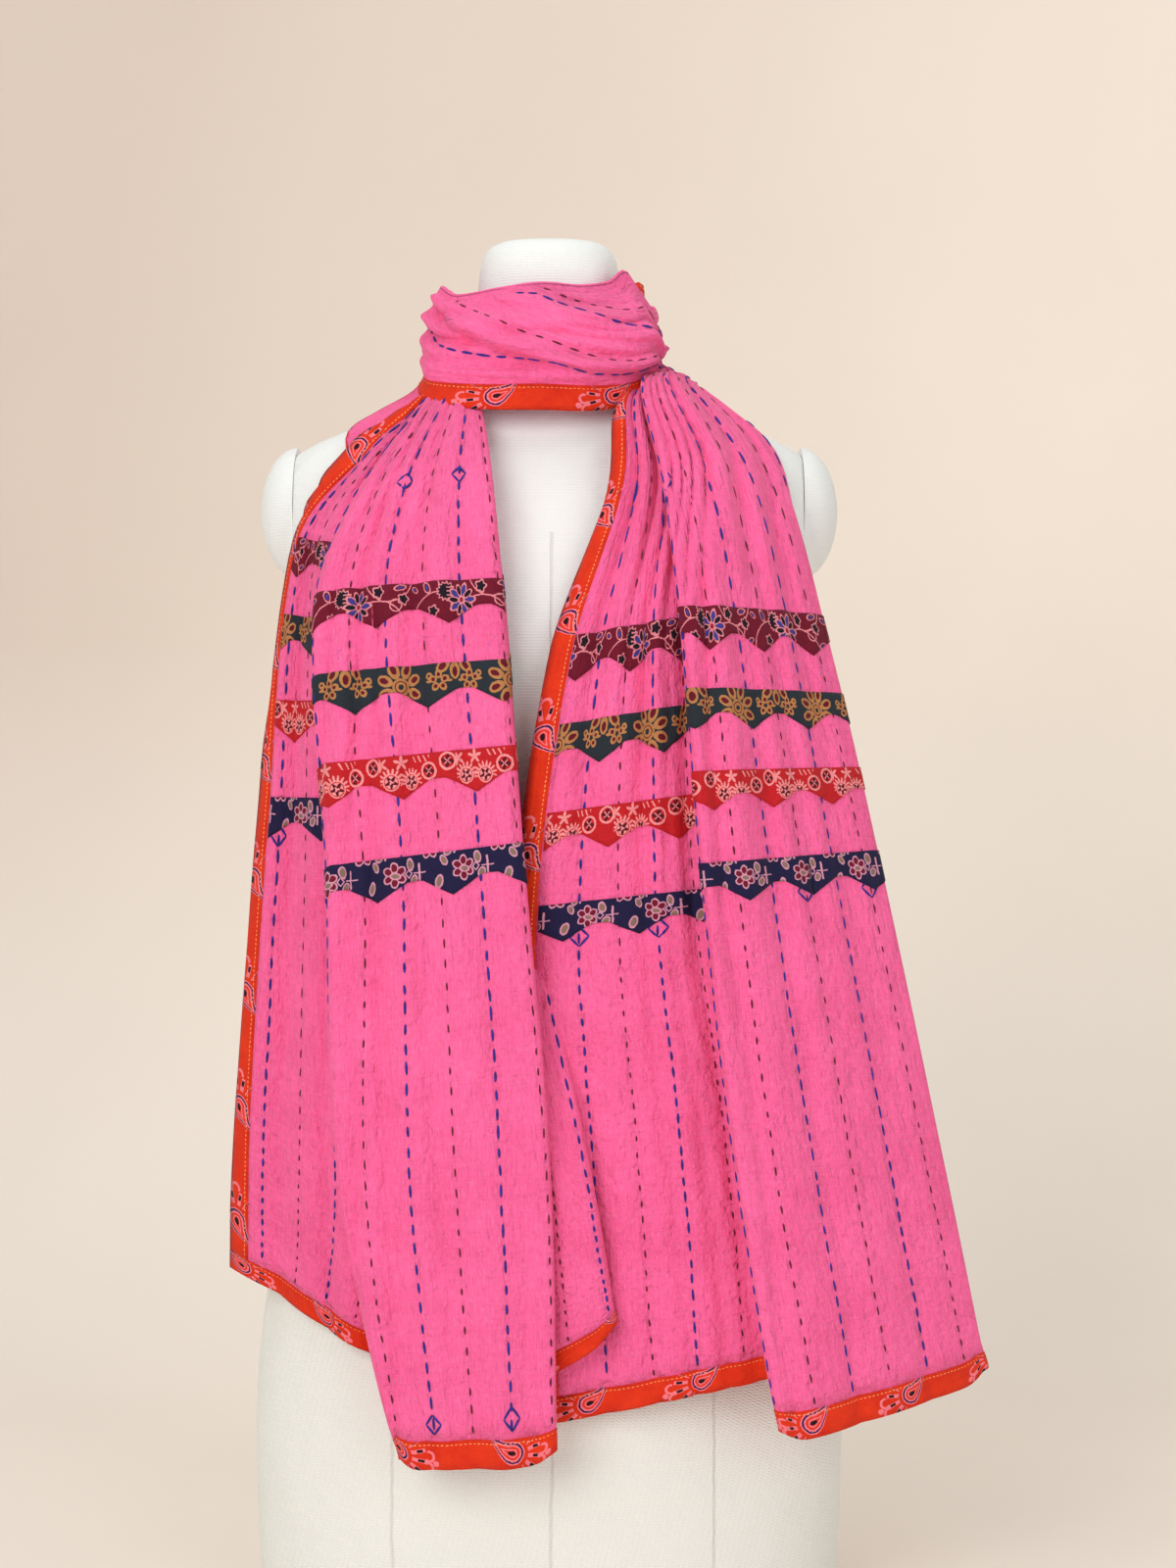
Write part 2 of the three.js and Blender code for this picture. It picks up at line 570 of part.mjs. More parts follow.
const body = solidOf(formGeometry()).subtract(shoulderCut(1)).subtract(shoulderCut(-1));
addPiece("form_torso", geometryOf(body), "whiteJersey");
addPiece("form_arm_cap_left", armCap(-1), "whiteJersey");
addPiece("form_arm_cap_right", armCap(1), "whiteJersey");

// Stole
const stripRows = Object.values(STRIP_TOPS).flatMap((top) => [top - STRIP_DEPTH, top]);
const BODY_ROWS = [INNER_FROM, ...END_ROWS, ...stripRows, ...UPPER_ROWS].sort((a, b) => a - b);

// One end: its grid with bindings, and the part of it that a piece covers
function wholeEnd(end) {
  const grid = endGrid(end, [0, BINDING_WIDTH, ...BODY_ROWS]);
  return { end, grid, normals: gridNormals(grid, end.side) };
}

function piecePart({ end, grid, normals }, rows, columns) {
  const cut = (table) => table.filter((_, r) => rows(r)).map((row) => row.filter((_, c) => columns(c)));
  return { end, grid: cut(grid), normals: cut(normals) };
}

function sheetSolid({ end, grid, normals }, thick) {
  return solidOf(thickSheet(grid, normals, -thick / 2, thick / 2, end.side));
}

const leftWhole = wholeEnd(LEFT_END);
const rightWhole = wholeEnd(RIGHT_END);
const clothPart = (whole) => {
  const last = whole.grid[0].length - 1;
  return piecePart(whole, (r) => r > 1, (c) => c > 2 && c < last - 2);
};
const leftCloth = clothPart(leftWhole);
const rightCloth = clothPart(rightWhole);
const loopSolid = solidOf(ringGeometry(loopOutline())).subtract(solidOf(formGeometry(SEAT_GAP)));

// The loop's lower binding shows at the throat and at the nape, and between them the ends cross it.
const bindingHalf = BINDING_THICK / 2;
const neckLayer = 4 * LOOP_PITCH;
const THROAT = [-52, 76];
const NAPE = [128, 232];
const lowerBinding = [
  [0, bindingHalf, 0],
  [0, -bindingHalf, 0],
  [0.255, -bindingHalf, 0],
  [0.255, bindingHalf, 0],
];
const upperBinding = [
  [1, neckLayer + bindingHalf, -24],
  [1, neckLayer - bindingHalf, -24],
  [1, neckLayer - bindingHalf, -5],
  [1, neckLayer + bindingHalf, -5],
];
const besideLowerBinding = [
  [-0.02, bindingHalf + 0.4, -0.3],
  [-0.02, -bindingHalf - 25, -0.3],
  [0.255, -bindingHalf - 25, 0.2],
  [0.255, bindingHalf + 0.4, 0.2],
];
const neckBinding = solidOf(ringGeometry(upperBinding));
const throatRoom = solidOf(ringGeometry(besideLowerBinding, ...THROAT));
const loopRoom = solidOf(
  ringGeometry([
    [-0.02, neckLayer + 4, -0.3],
    [-0.02, -bindingHalf - 0.4, -0.3],
    [0.38, -bindingHalf - 0.4, 0],
    [0.62, -bindingHalf - 0.4, 0],
    [0.86, -bindingHalf - 0.4, 0],
    [1, -bindingHalf - 0.4, 0.4],
    [1, neckLayer + 4, 0.4],
  ]),
);

// One body: pockets sealed inside the gathers are filled, and loose slivers dropped.
function mainBody(solid) {
  return solid.decompose().sort((a, b) => b.volume() - a.volume())[0];
}

function cutBy(solid, cuts) {
  return cuts.reduce((left, cut) => left.subtract(cut), solid);
}

// The bindings of an end, and the cloth of it cut clear of them
const BINDINGS = [
  { name: "binding_hem_", rows: (r) => r < 2, columns: (c, last) => c !== 3 && c !== last - 3 },
  { name: "binding_outer_", rows: (r) => r > 1, columns: (c) => c < 3 },
  { name: "binding_inner_", rows: (r) => r > 1, columns: (c, last) => c > last - 3 },
];
function bindingPart(whole, { rows, columns }) {
  const last = whole.grid[0].length - 1;
  return piecePart(whole, rows, (c) => columns(c, last));
}

function clearedEnd(whole, ...others) {
  const rooms = BINDINGS.map((binding) => sheetSolid(bindingPart(whole, binding), BINDING_THICK + 0.4));
  return mainBody(cutBy(sheetSolid(clothPart(whole), CLOTH_THICK), [neckBinding, ...rooms, ...others]));
}

const cloth = mainBody(loopSolid.add(clearedEnd(leftWhole, throatRoom)).add(clearedEnd(rightWhole)));
addPiece("stole_cloth", geometryOf(cloth), "pinkCotton");
addPiece("binding_neck", geometryOf(neckBinding), "orangePrint");
const endRooms = [leftWhole, rightWhole].map((whole) => sheetSolid(whole, BINDING_THICK + 0.8));
for (const [name, arc] of [["binding_throat", THROAT], ["binding_nape", NAPE]]) {
  const band = cutBy(solidOf(ringGeometry(lowerBinding, ...arc)), endRooms);
  addPiece(name, geometryOf(mainBody(band)), "orangePrint");
}

for (const [whole, label] of [[leftWhole, "left"], [rightWhole, "right"]])
  for (const binding of BINDINGS) {
    const band = cutBy(sheetSolid(bindingPart(whole, binding), BINDING_THICK), [loopRoom, throatRoom]);
    addPiece(binding.name + label, geometryOf(mainBody(band)), "orangePrint");
  }

// Applied strips: a straight upper edge, and a lower edge of sharp points between rounded notches
function scallop(u, start) {
  const turn = (((u - start) / SCALLOP_PITCH) % 1 + 1) % 1;
  const beside = Math.min(turn, 1 - turn) * 2;
  return SCALLOP_DEPTH * Math.min(1, beside * 1.25, 0.9 + beside * 0.1);
}

function stripSolid(piece, top, start) {
  const row = BODY_ROWS.indexOf(top - STRIP_DEPTH);
  const [below, above] = [piece.grid[row], piece.grid[row + 1]];
  const places = below.map((_, c) => [Math.min(c, below.length - 2), c === below.length - 1 ? 1 : 0]);
  const extra = [];
  for (let u = start - SCALLOP_PITCH * 20; u < CLOTH_WIDTH; u += SCALLOP_PITCH)
    for (const share of [0, 0.38, 0.62]) extra.push(u + share * SCALLOP_PITCH);
  for (const u of extra) {
    const c = below.findLastIndex((point) => point.u < u - 1.2);
    if (c >= 0 && c < below.length - 1 && u < below[c + 1].u - 1.2)
      places.push([c, (u - below[c].u) / (below[c + 1].u - below[c].u)]);
  }
  places.sort((a, b) => a[0] + a[1] - b[0] - b[1]);
  const corner = (r, c, offset) => piece.grid[r][c].p.clone().addScaledVector(piece.normals[r][c], offset);
  const facet = (c, across, along, offset) => {
    const [near, far] = [corner(row, c, offset), corner(row + 1, c + 1, offset)];
    const turn = across >= along ? corner(row, c + 1, offset) : corner(row + 1, c, offset);
    const [first, second] = across >= along ? [across, along] : [along, across];
    return near.clone().addScaledVector(turn.clone().sub(near), first).addScaledVector(far.sub(turn), second);
  };
  const positions = [];
  const base = CLOTH_THICK / 2 + FACE_GAP;
  for (const offset of [base + STRIP_THICK, base])
    for (const upper of [0, 1])
      for (const [c, a] of places) {
        const u = below[c].u + (below[c + 1].u - below[c].u) * a;
        const along = upper ? 1 : scallop(u, start) / STRIP_DEPTH;
        const p = facet(c, a, along, offset);
        positions.push(p.x, p.y, p.z);
      }
  const n = places.length;
  const index = [];
  const quad = (a, b, c, d) => (piece.end.side > 0 ? index.push(a, b, c, a, c, d) : index.push(a, c, b, a, d, c));
  for (let i = 0; i < n - 1; i++) {
    quad(i, i + 1, n + i + 1, n + i);
    quad(2 * n + i, 3 * n + i, 3 * n + i + 1, 2 * n + i + 1);
    quad(i, 2 * n + i, 2 * n + i + 1, i + 1);
    quad(n + i, n + i + 1, 3 * n + i + 1, 3 * n + i);
  }
  quad(0, n, 3 * n, 2 * n);
  quad(n - 1, 3 * n - 1, 4 * n - 1, 2 * n - 1);
  const geometry = new THREE.BufferGeometry();
  geometry.setAttribute("position", new THREE.Float32BufferAttribute(positions, 3));
  geometry.setIndex(index);
  return geometry;
}

const SCALLOP_STARTS = { indigo: [20, 8], red: [42, 30], slate: [12, 40], maroon: [30, 18] };
for (const [name, top] of Object.entries(STRIP_TOPS)) {
  addPiece("strip_left_" + name, stripSolid(leftCloth, top, SCALLOP_STARTS[name][0]), name + "Print");
  addPiece("strip_right_" + name, stripSolid(rightCloth, top, SCALLOP_STARTS[name][1]), name + "Print");
}

export default object;
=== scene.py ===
"""A kantha stole looped round the neck of a dress form, both of its ends hanging at the front."""

import math

import bmesh
import bpy
import numpy as np
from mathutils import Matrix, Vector, noise


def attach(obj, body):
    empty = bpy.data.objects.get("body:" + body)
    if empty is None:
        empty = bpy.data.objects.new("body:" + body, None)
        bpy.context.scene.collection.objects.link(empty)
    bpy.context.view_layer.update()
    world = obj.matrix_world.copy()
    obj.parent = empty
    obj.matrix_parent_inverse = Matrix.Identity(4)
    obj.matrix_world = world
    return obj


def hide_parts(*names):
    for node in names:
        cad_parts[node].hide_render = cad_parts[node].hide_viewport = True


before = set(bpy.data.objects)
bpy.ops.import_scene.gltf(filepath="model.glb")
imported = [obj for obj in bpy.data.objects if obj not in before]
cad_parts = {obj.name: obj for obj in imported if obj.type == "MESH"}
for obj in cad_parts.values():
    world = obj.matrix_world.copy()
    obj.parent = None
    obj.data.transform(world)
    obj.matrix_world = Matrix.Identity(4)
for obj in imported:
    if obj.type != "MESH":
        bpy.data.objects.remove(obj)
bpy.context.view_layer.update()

MM = 0.001

# All sizes are in millimetres. Left and right are the viewer's

CLOTH_WIDTH = 640
CLOTH_THICK = 1.3

# The least distance from the form to the lowest layer's middle, and from layer to layer. It comes on softly, and
# from SETTLED out it moves nothing
CLOTH_CLEARANCE = 3.4
LAYER_PITCH = 2.2
SETTLE = 2.5
SETTLED = 8 * SETTLE

# A binding's width and thickness, where its rows of points lie, and how far its hidden part is tucked in
BINDING_WIDTH = 19
BINDING_THICK = 1.9
BINDING_STEPS = (0, 4.75, 9.5, 14.25)
BANDS = len(BINDING_STEPS)
TUCK_DEPTH = 2.2
TUCK_RAMP = 5
TUCK_LAYERS = 0.95

# The printed strips: how far each one's top is from the hem, their sizes, those of their points, and how far they
# keep from the cloth's sides and off its face
STRIP_TOPS = {"indigo": 392, "red": 454, "slate": 509, "maroon": 561}
STRIP_THICK = 0.7
STRIP_DEPTH = 27
STRIP_INSET = 20.5
SCALLOP_DEPTH = 11
SCALLOP_PITCH = 54
STRIP_GAP = 0.12

# Where the prints and the points start, on the left end and on the right
PAISLEY_STARTS = {"hem": (14, 40), "outer": (22, 30), "inner": (10, 44)}
PAISLEY_PITCH = 74
SCALLOP_STARTS = {"indigo": (20, 8), "red": (42, 30), "slate": (12, 40), "maroon": (30, 18)}

# The lines of stitches across the cloth, blue and maroon in turn. The rise of a stitch is a share of its width
STITCH_START = 30
STITCH_PITCH = 28
STITCH_LINES = [STITCH_START + STITCH_PITCH * j for j in range(21)]
BLUE = {"length": 7.4, "pitch": 12.4, "width": 1.9}
MAROON = {"length": 5.2, "pitch": 12.8, "width": 1.35}
DIAMOND_WIDTH = 1.7
LONGEST_STITCH = 14
STITCH_RISE = 0.36
STITCH_PROUD = 0.1

# How the pink cloth puckers along its stitches, and where the row of faint drawn diamonds is
PUCKER_PITCH = 6.6
DRAWN_AT = 519
DRAWN_HALF = 8.5

# How far along the cloth from the hem the places of its folds are given
STATIONS = {
    "hem": 0, "low": 190, "strip4": 380, "strip1": 553, "tuck": 632, "collar": 700, "shoulder": 760, "nape": 820,
}
END_LENGTH = STATIONS["nape"]

# The folds of each end from its outer edge to its inner one: which way each turns, how far across the cloth
# it is, higher up and at the hem, and where it passes at each station

LEFT_FOLDS = [
    {"name": "outer edge", "turn": 0, "cloth": 0, "cloth_hem": 0,
     "hem": (-207, -62, 226), "low": (-203, -64, 342), "strip4": (-189, -68, 520), "strip1": (-166, -66, 693),
     "tuck": (-133, -69, 756), "collar": (-77, -56, 797), "shoulder": (-70, -8, 815), "nape": (-66, 36, 826)},
    {"name": "back fold", "turn": 1, "cloth": 150, "cloth_hem": 158,
     "hem": (-79, -114, 170), "low": (-82, -120, 296), "strip4": (-97, -126, 518), "strip1": (-112, -112, 680),
     "tuck": (-98, -90, 736), "collar": (-69, -55, 790), "shoulder": (-66, -8, 818), "nape": (-56, 38, 834)},
    {"name": "panel left", "turn": 1, "cloth": 195, "cloth_hem": 218,
     "hem": (-89, -152, 119), "low": (-122, -154, 294), "strip4": (-132, -148, 478), "strip1": (-142, -128, 651),
     "tuck": (-122, -98, 722), "collar": (-76, -58, 791), "shoulder": (-74, -8, 816), "nape": (-69, 38, 832)},
    {"name": "panel right", "turn": -1, "cloth": 343, "cloth_hem": 343,
     "hem": (2, -162, 123), "low": (-2, -164, 306), "strip4": (-18, -158, 492), "strip1": (-31, -146, 659),
     "tuck": (-38, -118, 736), "collar": (-46, -64, 790), "shoulder": (-54, -10, 826), "nape": (-46, 38, 846)},
    {"name": "inner fold", "turn": -1, "cloth": 433, "cloth_hem": 433,
     "hem": (-44, -150, 146), "low": (-47, -152, 315), "strip4": (-58, -138, 496), "strip1": (-67, -130, 660),
     "tuck": (-74, -98, 736), "collar": (-62, -56, 790), "shoulder": (-62, -8, 820), "nape": (-53, 38, 836)},
    {"name": "side fold", "turn": -1, "cloth": 540, "cloth_hem": 540,
     "hem": (40, -149, 197), "low": (22, -151, 306), "strip4": (-17, -128, 498), "strip1": (-31, -126, 663),
     "tuck": (-43, -98, 739), "collar": (-51, -56, 788), "shoulder": (-57, -8, 822), "nape": (-46, 36, 838)},
    {"name": "inner edge", "turn": 0, "cloth": 640, "cloth_hem": 640,
     "hem": (-30, -142, 203), "low": (-35, -142, 316), "strip4": (-72, -112, 504), "strip1": (-85, -108, 665),
     "tuck": (-126, -51, 763), "collar": (-89, -30, 801), "shoulder": (-75, 4, 824), "nape": (-60, 34, 824)},
]
RIGHT_FOLDS = [
    {"name": "outer edge", "turn": 0, "cloth": 0, "cloth_hem": 0,
     "hem": (233, -58, 199), "low": (211, -60, 336), "strip4": (182, -62, 501), "strip1": (153, -66, 647),
     "tuck": (122, -66, 743), "collar": (94, -36, 785), "shoulder": (92, 6, 796), "nape": (54, 38, 828)},
    {"name": "rear fold", "turn": 1, "cloth": 84, "cloth_hem": 80,
     "hem": (264, -74, 184), "low": (237, -76, 324), "strip4": (202, -76, 494), "strip1": (168, -72, 644),
     "tuck": (145, -60, 739), "collar": (106, -28, 788), "shoulder": (104, 4, 790), "nape": (62, 38, 824)},
    {"name": "mid fold", "turn": 1, "cloth": 172, "cloth_hem": 170,
     "hem": (223, -98, 175), "low": (201, -98, 320), "strip4": (176, -98, 489), "strip1": (142, -94, 639),
     "tuck": (112, -84, 739), "collar": (88, -44, 791), "shoulder": (86, 2, 802), "nape": (50, 40, 836)},
    {"name": "panel right", "turn": 1, "cloth": 266, "cloth_hem": 264,
     "hem": (276, -100, 161), "low": (246, -102, 308), "strip4": (208, -98, 487), "strip1": (174, -88, 639),
     "tuck": (146, -74, 741), "collar": (102, -38, 798), "shoulder": (100, 0, 800), "nape": (60, 40, 834)},
    {"name": "panel left", "turn": -1, "cloth": 424, "cloth_hem": 424,
     "hem": (147, -172, 139), "low": (119, -168, 313), "strip4": (100, -162, 481), "strip1": (87, -146, 641),
     "tuck": (76, -118, 730), "collar": (62, -80, 794), "shoulder": (68, -6, 816), "nape": (40, 40, 848)},
    {"name": "back fold", "turn": -1, "cloth": 475, "cloth_hem": 475,
     "hem": (148, -142, 172), "low": (135, -142, 318), "strip4": (114, -142, 466), "strip1": (98, -130, 638),
     "tuck": (90, -102, 729), "collar": (76, -64, 792), "shoulder": (78, -2, 808), "nape": (45, 40, 842)},
    {"name": "inner edge", "turn": 0, "cloth": 640, "cloth_hem": 640,
     "hem": (-8, -132, 139), "low": (-17, -136, 302), "strip4": (-21, -138, 452), "strip1": (2, -136, 620),
     "tuck": (36, -112, 724), "collar": (44, -86, 784), "shoulder": (60, -6, 812), "nape": (38, 38, 840)},
]

# At each station: how wide a fold is, how high small pleats may be, how many degrees the way out from the form
# leans up from level, and how far the cloth sways
FOLD_WIDTHS = {"hem": 9, "low": 9, "strip4": 9, "strip1": 8, "tuck": 6, "collar": 4, "shoulder": 4, "nape": 4}
PLEAT_MOST = {
    "hem": 5, "low": 5, "strip4": 4.5, "strip1": 3.4, "tuck": 1, "collar": 0.6, "shoulder": 0.6, "nape": 0.4,
}
LEANS = {"hem": 0, "low": 0, "strip4": 0, "strip1": 5, "tuck": 15, "collar": 50, "shoulder": 85, "nape": 120}
SWAY = {"hem": 2.2, "low": 2, "strip4": 1.8, "strip1": 1.6, "tuck": 1, "collar": 0.4, "shoulder": 0.2, "nape": 0.2}

# Each end: which way its cloth faces, and for each layer its columns, its swell and its small pleats. creases are
# where the valleys of its gathers lie across it, low down and by the neck, crests how high each gather stands and
# depths how deep they all are. shown is how much of the binding shows at the outer edge and at the inner one
LEFT_END = {
    "folds": LEFT_FOLDS, "side": 1,
    "steps": (36, 14, 32, 17, 19, 19), "bulges": (0.05, 0, 0.12, 0, 0, 0), "pleats": (2, 1, 3, 2, 3, 3),
    "creases": ((0, 0), (0.14, 0.12), (0.27, 0.24), (0.38, 0.36), (0.46, 0.47), (0.6, 0.6), (0.8, 0.8), (1, 1)),
    "crests": (0.3, 1.4, 2.1, 2, 1.2, 0.8, 0.6),
    "depths": {"hem": 2, "low": 2.2, "strip4": 2.4, "strip1": 3.1, "tuck": 3, "collar": 1, "shoulder": 1, "nape": 1},
    "shown": (
        {"hem": 15, "low": 13, "strip4": 11, "strip1": 5, "tuck": 16, "collar": 4, "shoulder": 4, "nape": 9},
        {"hem": 18, "low": 18, "strip4": 18, "strip1": 10, "tuck": 0, "collar": 0, "shoulder": 0, "nape": 4},
    ),
}
RIGHT_END = {
    "folds": RIGHT_FOLDS, "side": -1,
    "steps": (20, 16, 18, 44, 12, 36), "bulges": (0, 0, 0, 0.14, 0, 0.06), "pleats": (2, 2, 2, 4, 1, 4),
    "creases": (
        (0, 0), (0.16, 0.16), (0.27, 0.27), (0.35, 0.34), (0.42, 0.4), (0.48, 0.46), (0.55, 0.53), (0.7, 0.72),
        (0.86, 0.87), (1, 1),
    ),
    "crests": (0.7, 1.1, 1.2, 1.4, 1.5, 1.4, 1.2, 0.8, 0.5),
    "depths": {
        "hem": 2, "low": 2.1, "strip4": 2.4, "strip1": 3.6, "tuck": 5.2, "collar": 3.4, "shoulder": 3, "nape": 3,
    },
    "shown": (
        {"hem": 17, "low": 17, "strip4": 16, "strip1": 16, "tuck": 16, "collar": 14, "shoulder": 14, "nape": 14},
        {"hem": 17, "low": 16, "strip4": 15, "strip1": 14.5, "tuck": 12, "collar": 9, "shoulder": 9, "nape": 12},
    ),
}

# A fold has three knots: before it, on it and after it. So every third interval between knots is a layer
FOLD_KNOTS = 3
FOLD_PARTS = 3

# The gathers start from cloth that lies lower by this share of their depth
GATHER_BELOW = 0.6

# The corners of the folds at the hem are lifted so high, over that far along the cloth and across it
CORNER_LIFT = 9
CORNER_LONG = 22
CORNER_REACH = 11

# Small diamonds sewn on the lines of blue stitches: across, along, and half their width and height
LEFT_DIAMONDS = [
    (254, 632, 7.5, 5.5), (310, 632, 7.5, 5.5), (254, 30, 5.5, 6.5), (310, 32, 5.5, 8),
    (30, 367, 7, 7), (86, 368, 7, 7),
]
RIGHT_DIAMONDS = [
    (590, 632, 4.5, 7), (422, 632, 7, 6),
    (282, 367, 7, 7), (338, 368, 7, 7), (534, 368, 7, 7), (590, 367, 7, 7),
]

# The loop round the neck, by the angle from the front towards the left end: the heights and radii of its lower and
# upper edges, and how far it bulges between them
LOOP_ROWS = [
    {"angle": 0, "low": 780, "high": 865, "low_radius": 85, "high_radius": 64, "bulge": 6},
    {"angle": 25, "low": 781, "high": 862, "low_radius": 90, "high_radius": 66, "bulge": 5},
    {"angle": 50, "low": 788, "high": 860, "low_radius": 96, "high_radius": 72, "bulge": 3},
    {"angle": 68, "low": 799, "high": 869, "low_radius": 83, "high_radius": 71, "bulge": 5},
    {"angle": 90, "low": 806, "high": 872, "low_radius": 77, "high_radius": 67, "bulge": 7},
    {"angle": 135, "low": 806, "high": 874, "low_radius": 80, "high_radius": 66, "bulge": 8},
    {"angle": 180, "low": 800, "high": 872, "low_radius": 86, "high_radius": 68, "bulge": 9},
    {"angle": 225, "low": 804, "high": 872, "low_radius": 82, "high_radius": 68, "bulge": 8},
    {"angle": 270, "low": 806, "high": 860, "low_radius": 76, "high_radius": 76, "bulge": 2},
    {"angle": 286, "low": 798, "high": 853, "low_radius": 80, "high_radius": 78, "bulge": 3},
    {"angle": 295, "low": 793, "high": 860, "low_radius": 82, "high_radius": 76, "bulge": 4},
    {"angle": 304, "low": 788, "high": 877, "low_radius": 84, "high_radius": 66, "bulge": 6},
    {"angle": 318, "low": 783, "high": 868, "low_radius": 84, "high_radius": 65, "bulge": 6},
    {"angle": 336, "low": 780, "high": 864, "low_radius": 84, "high_radius": 64, "bulge": 6},
]
LOOP_CENTRE = -5

# How many rows go round the loop, and the cloth's length for each degree
LOOP_ROUND = 108
LOOP_ALONG = 1.4

# How far across the cloth each edge of the loop's seven layers is, their columns and their distances
LOOP_CLOTH = (0, 92, 184, 276, 367, 458, 549, 640)
LOOP_OUTER = 72
LOOP_STEPS = (LOOP_OUTER - 4, 14, 12, 12, 12, 12, 12)
LOOP_PITCH = 2.1
LOOP_LAYER = 0.75
LOOP_CLEARANCE = 1.4

# Level ripples in every layer, and the angle and height of the corner where the last edge comes up
LOOP_RIPPLE = 1.9
LOOP_RIPPLES = 9
LOOP_CORNER = -69
LOOP_RISE = 24

# The dress form: its level sections, and how square they are, 2 being an oval. Its shoulders are cut off flat
FORM_HEIGHT = 901
SHOULDER_HALF = 168
SHOULDER_CUT_ABOVE = 600
ARM_CAP_HEIGHT = 722
ARM_CAP_HALF = (25, 42, 44)
ARM_CAP_GAP = 0.6
SECTION_POWER = 2.4
FORM_SIDES = 56
FORM_RINGS = {*range(30, 640, 30), 650, 705, 740, 830, 865}
SMOOTH_UNDER = math.radians(50)
FORM_SECTIONS = [
    {"z": 0, "half": 192, "front": 116, "back": 112},
    {"z": 60, "half": 195, "front": 119, "back": 116},
    {"z": 150, "half": 195, "front": 121, "back": 119},
    {"z": 240, "half": 182, "front": 113, "back": 111},
    {"z": 330, "half": 156, "front": 99, "back": 96},
    {"z": 410, "half": 138, "front": 90, "back": 84},
    {"z": 500, "half": 146, "front": 101, "back": 88},
    {"z": 570, "half": 158, "front": 115, "back": 94},
    {"z": 620, "half": 168, "front": 120, "back": 98},
    {"z": 680, "half": 178, "front": 110, "back": 100},
    {"z": 725, "half": 182, "front": 90, "back": 95},
    {"z": 752, "half": 180, "front": 76, "back": 86},
    {"z": 768, "half": 160, "front": 68, "back": 78},
    {"z": 782, "half": 118, "front": 62, "back": 72},
    {"z": 797, "half": 80, "front": 56, "back": 64},
    {"z": 815, "half": 58, "front": 51, "back": 56},
    {"z": 845, "half": 50, "front": 48, "back": 50},
    {"z": 884, "half": 47, "front": 46, "back": 47},
    {"z": 896, "half": 44, "front": 43, "back": 44},
    {"z": FORM_HEIGHT, "half": 37, "front": 36, "back": 37},
]


def hermite(t0, a, slope_a, t1, b, slope_b, t):
    """A cubic from (t0, a) to (t1, b) with those slopes."""
    h = t1 - t0
    x = (t - t0) / h
    x2, x3 = x * x, x * x * x
    ends = a * (2 * x3 - 3 * x2 + 1) + slope_a * h * (x3 - 2 * x2 + x)
    return ends + b * (3 * x2 - 2 * x3) + slope_b * h * (x3 - x2)


def smooth_value(rows, key, name, at):
    """A named value of a sorted table, smoothly between its rows."""
    last = len(rows) - 1
    at = min(max(at, rows[0][key]), rows[last][key])
    i = min(max(k for k in range(last + 1) if rows[k][key] <= at), last - 1)

    def slope(k):
        before, after = rows[max(k - 1, 0)], rows[min(k + 1, last)]
        return (after[name] - before[name]) / (after[key] - before[key])

    return hermite(rows[i][key], rows[i][name], slope(i), rows[i + 1][key], rows[i + 1][name], slope(i + 1), at)


FORM_STEPS = np.linspace(0, FORM_HEIGHT, 452)
FORM_CURVES = {
    name: np.array([smooth_value(FORM_SECTIONS, "z", name, z) for z in FORM_STEPS])
    for name in ("half", "front", "back")
}


def form_reach(points, z):
    """How far the form's surface is from its axis, towards each point, at heights z."""
    half, front, back = (np.interp(z, FORM_STEPS, FORM_CURVES[name]) for name in ("half", "front", "back"))
    depth = np.where(points[:, 1] < 0, front, back)
    reach = np.maximum(np.hypot(points[:, 0], points[:, 1]), 1)
    across, deep = np.abs(points[:, 0]) / half, np.abs(points[:, 1]) / depth
    share = (across ** SECTION_POWER + deep ** SECTION_POWER) ** (1 / SECTION_POWER)
    return reach / np.maximum(share, 1e-6)


def off_the_form(points, layer, clearance=CLOTH_CLEARANCE):
    """Moves points of cloth off the form, each layer to its own least distance, so that layers stay in order."""
    span, steepest = 1.5, 3
    for _ in range(2):
        z = points[:, 2]
        reach = np.maximum(np.hypot(points[:, 0], points[:, 1]), 1)
        slope = (form_reach(points, z + span) - form_reach(points, z - span)) / (2 * span)
        slope = np.clip(slope, -steepest, steepest)
        steep = np.sqrt(1 + slope ** 2)
        outward = np.column_stack([points[:, 0] / reach, points[:, 1] / reach, -slope]) / steep[:, None]
        distance = (reach - form_reach(points, z)) / steep - clearance - layer * LAYER_PITCH
        near = np.minimum(distance, SETTLED) / SETTLE
        pressed = np.where(distance > SETTLED, distance, SETTLE * np.log1p(np.exp(near)))
        moved = np.where(z > FORM_HEIGHT, 0, pressed - distance)
        points = points + outward * moved[:, None]
    return points


def unit(vector):
    """The vector with a length of one."""
    return vector / max(np.linalg.norm(vector), 1e-9)


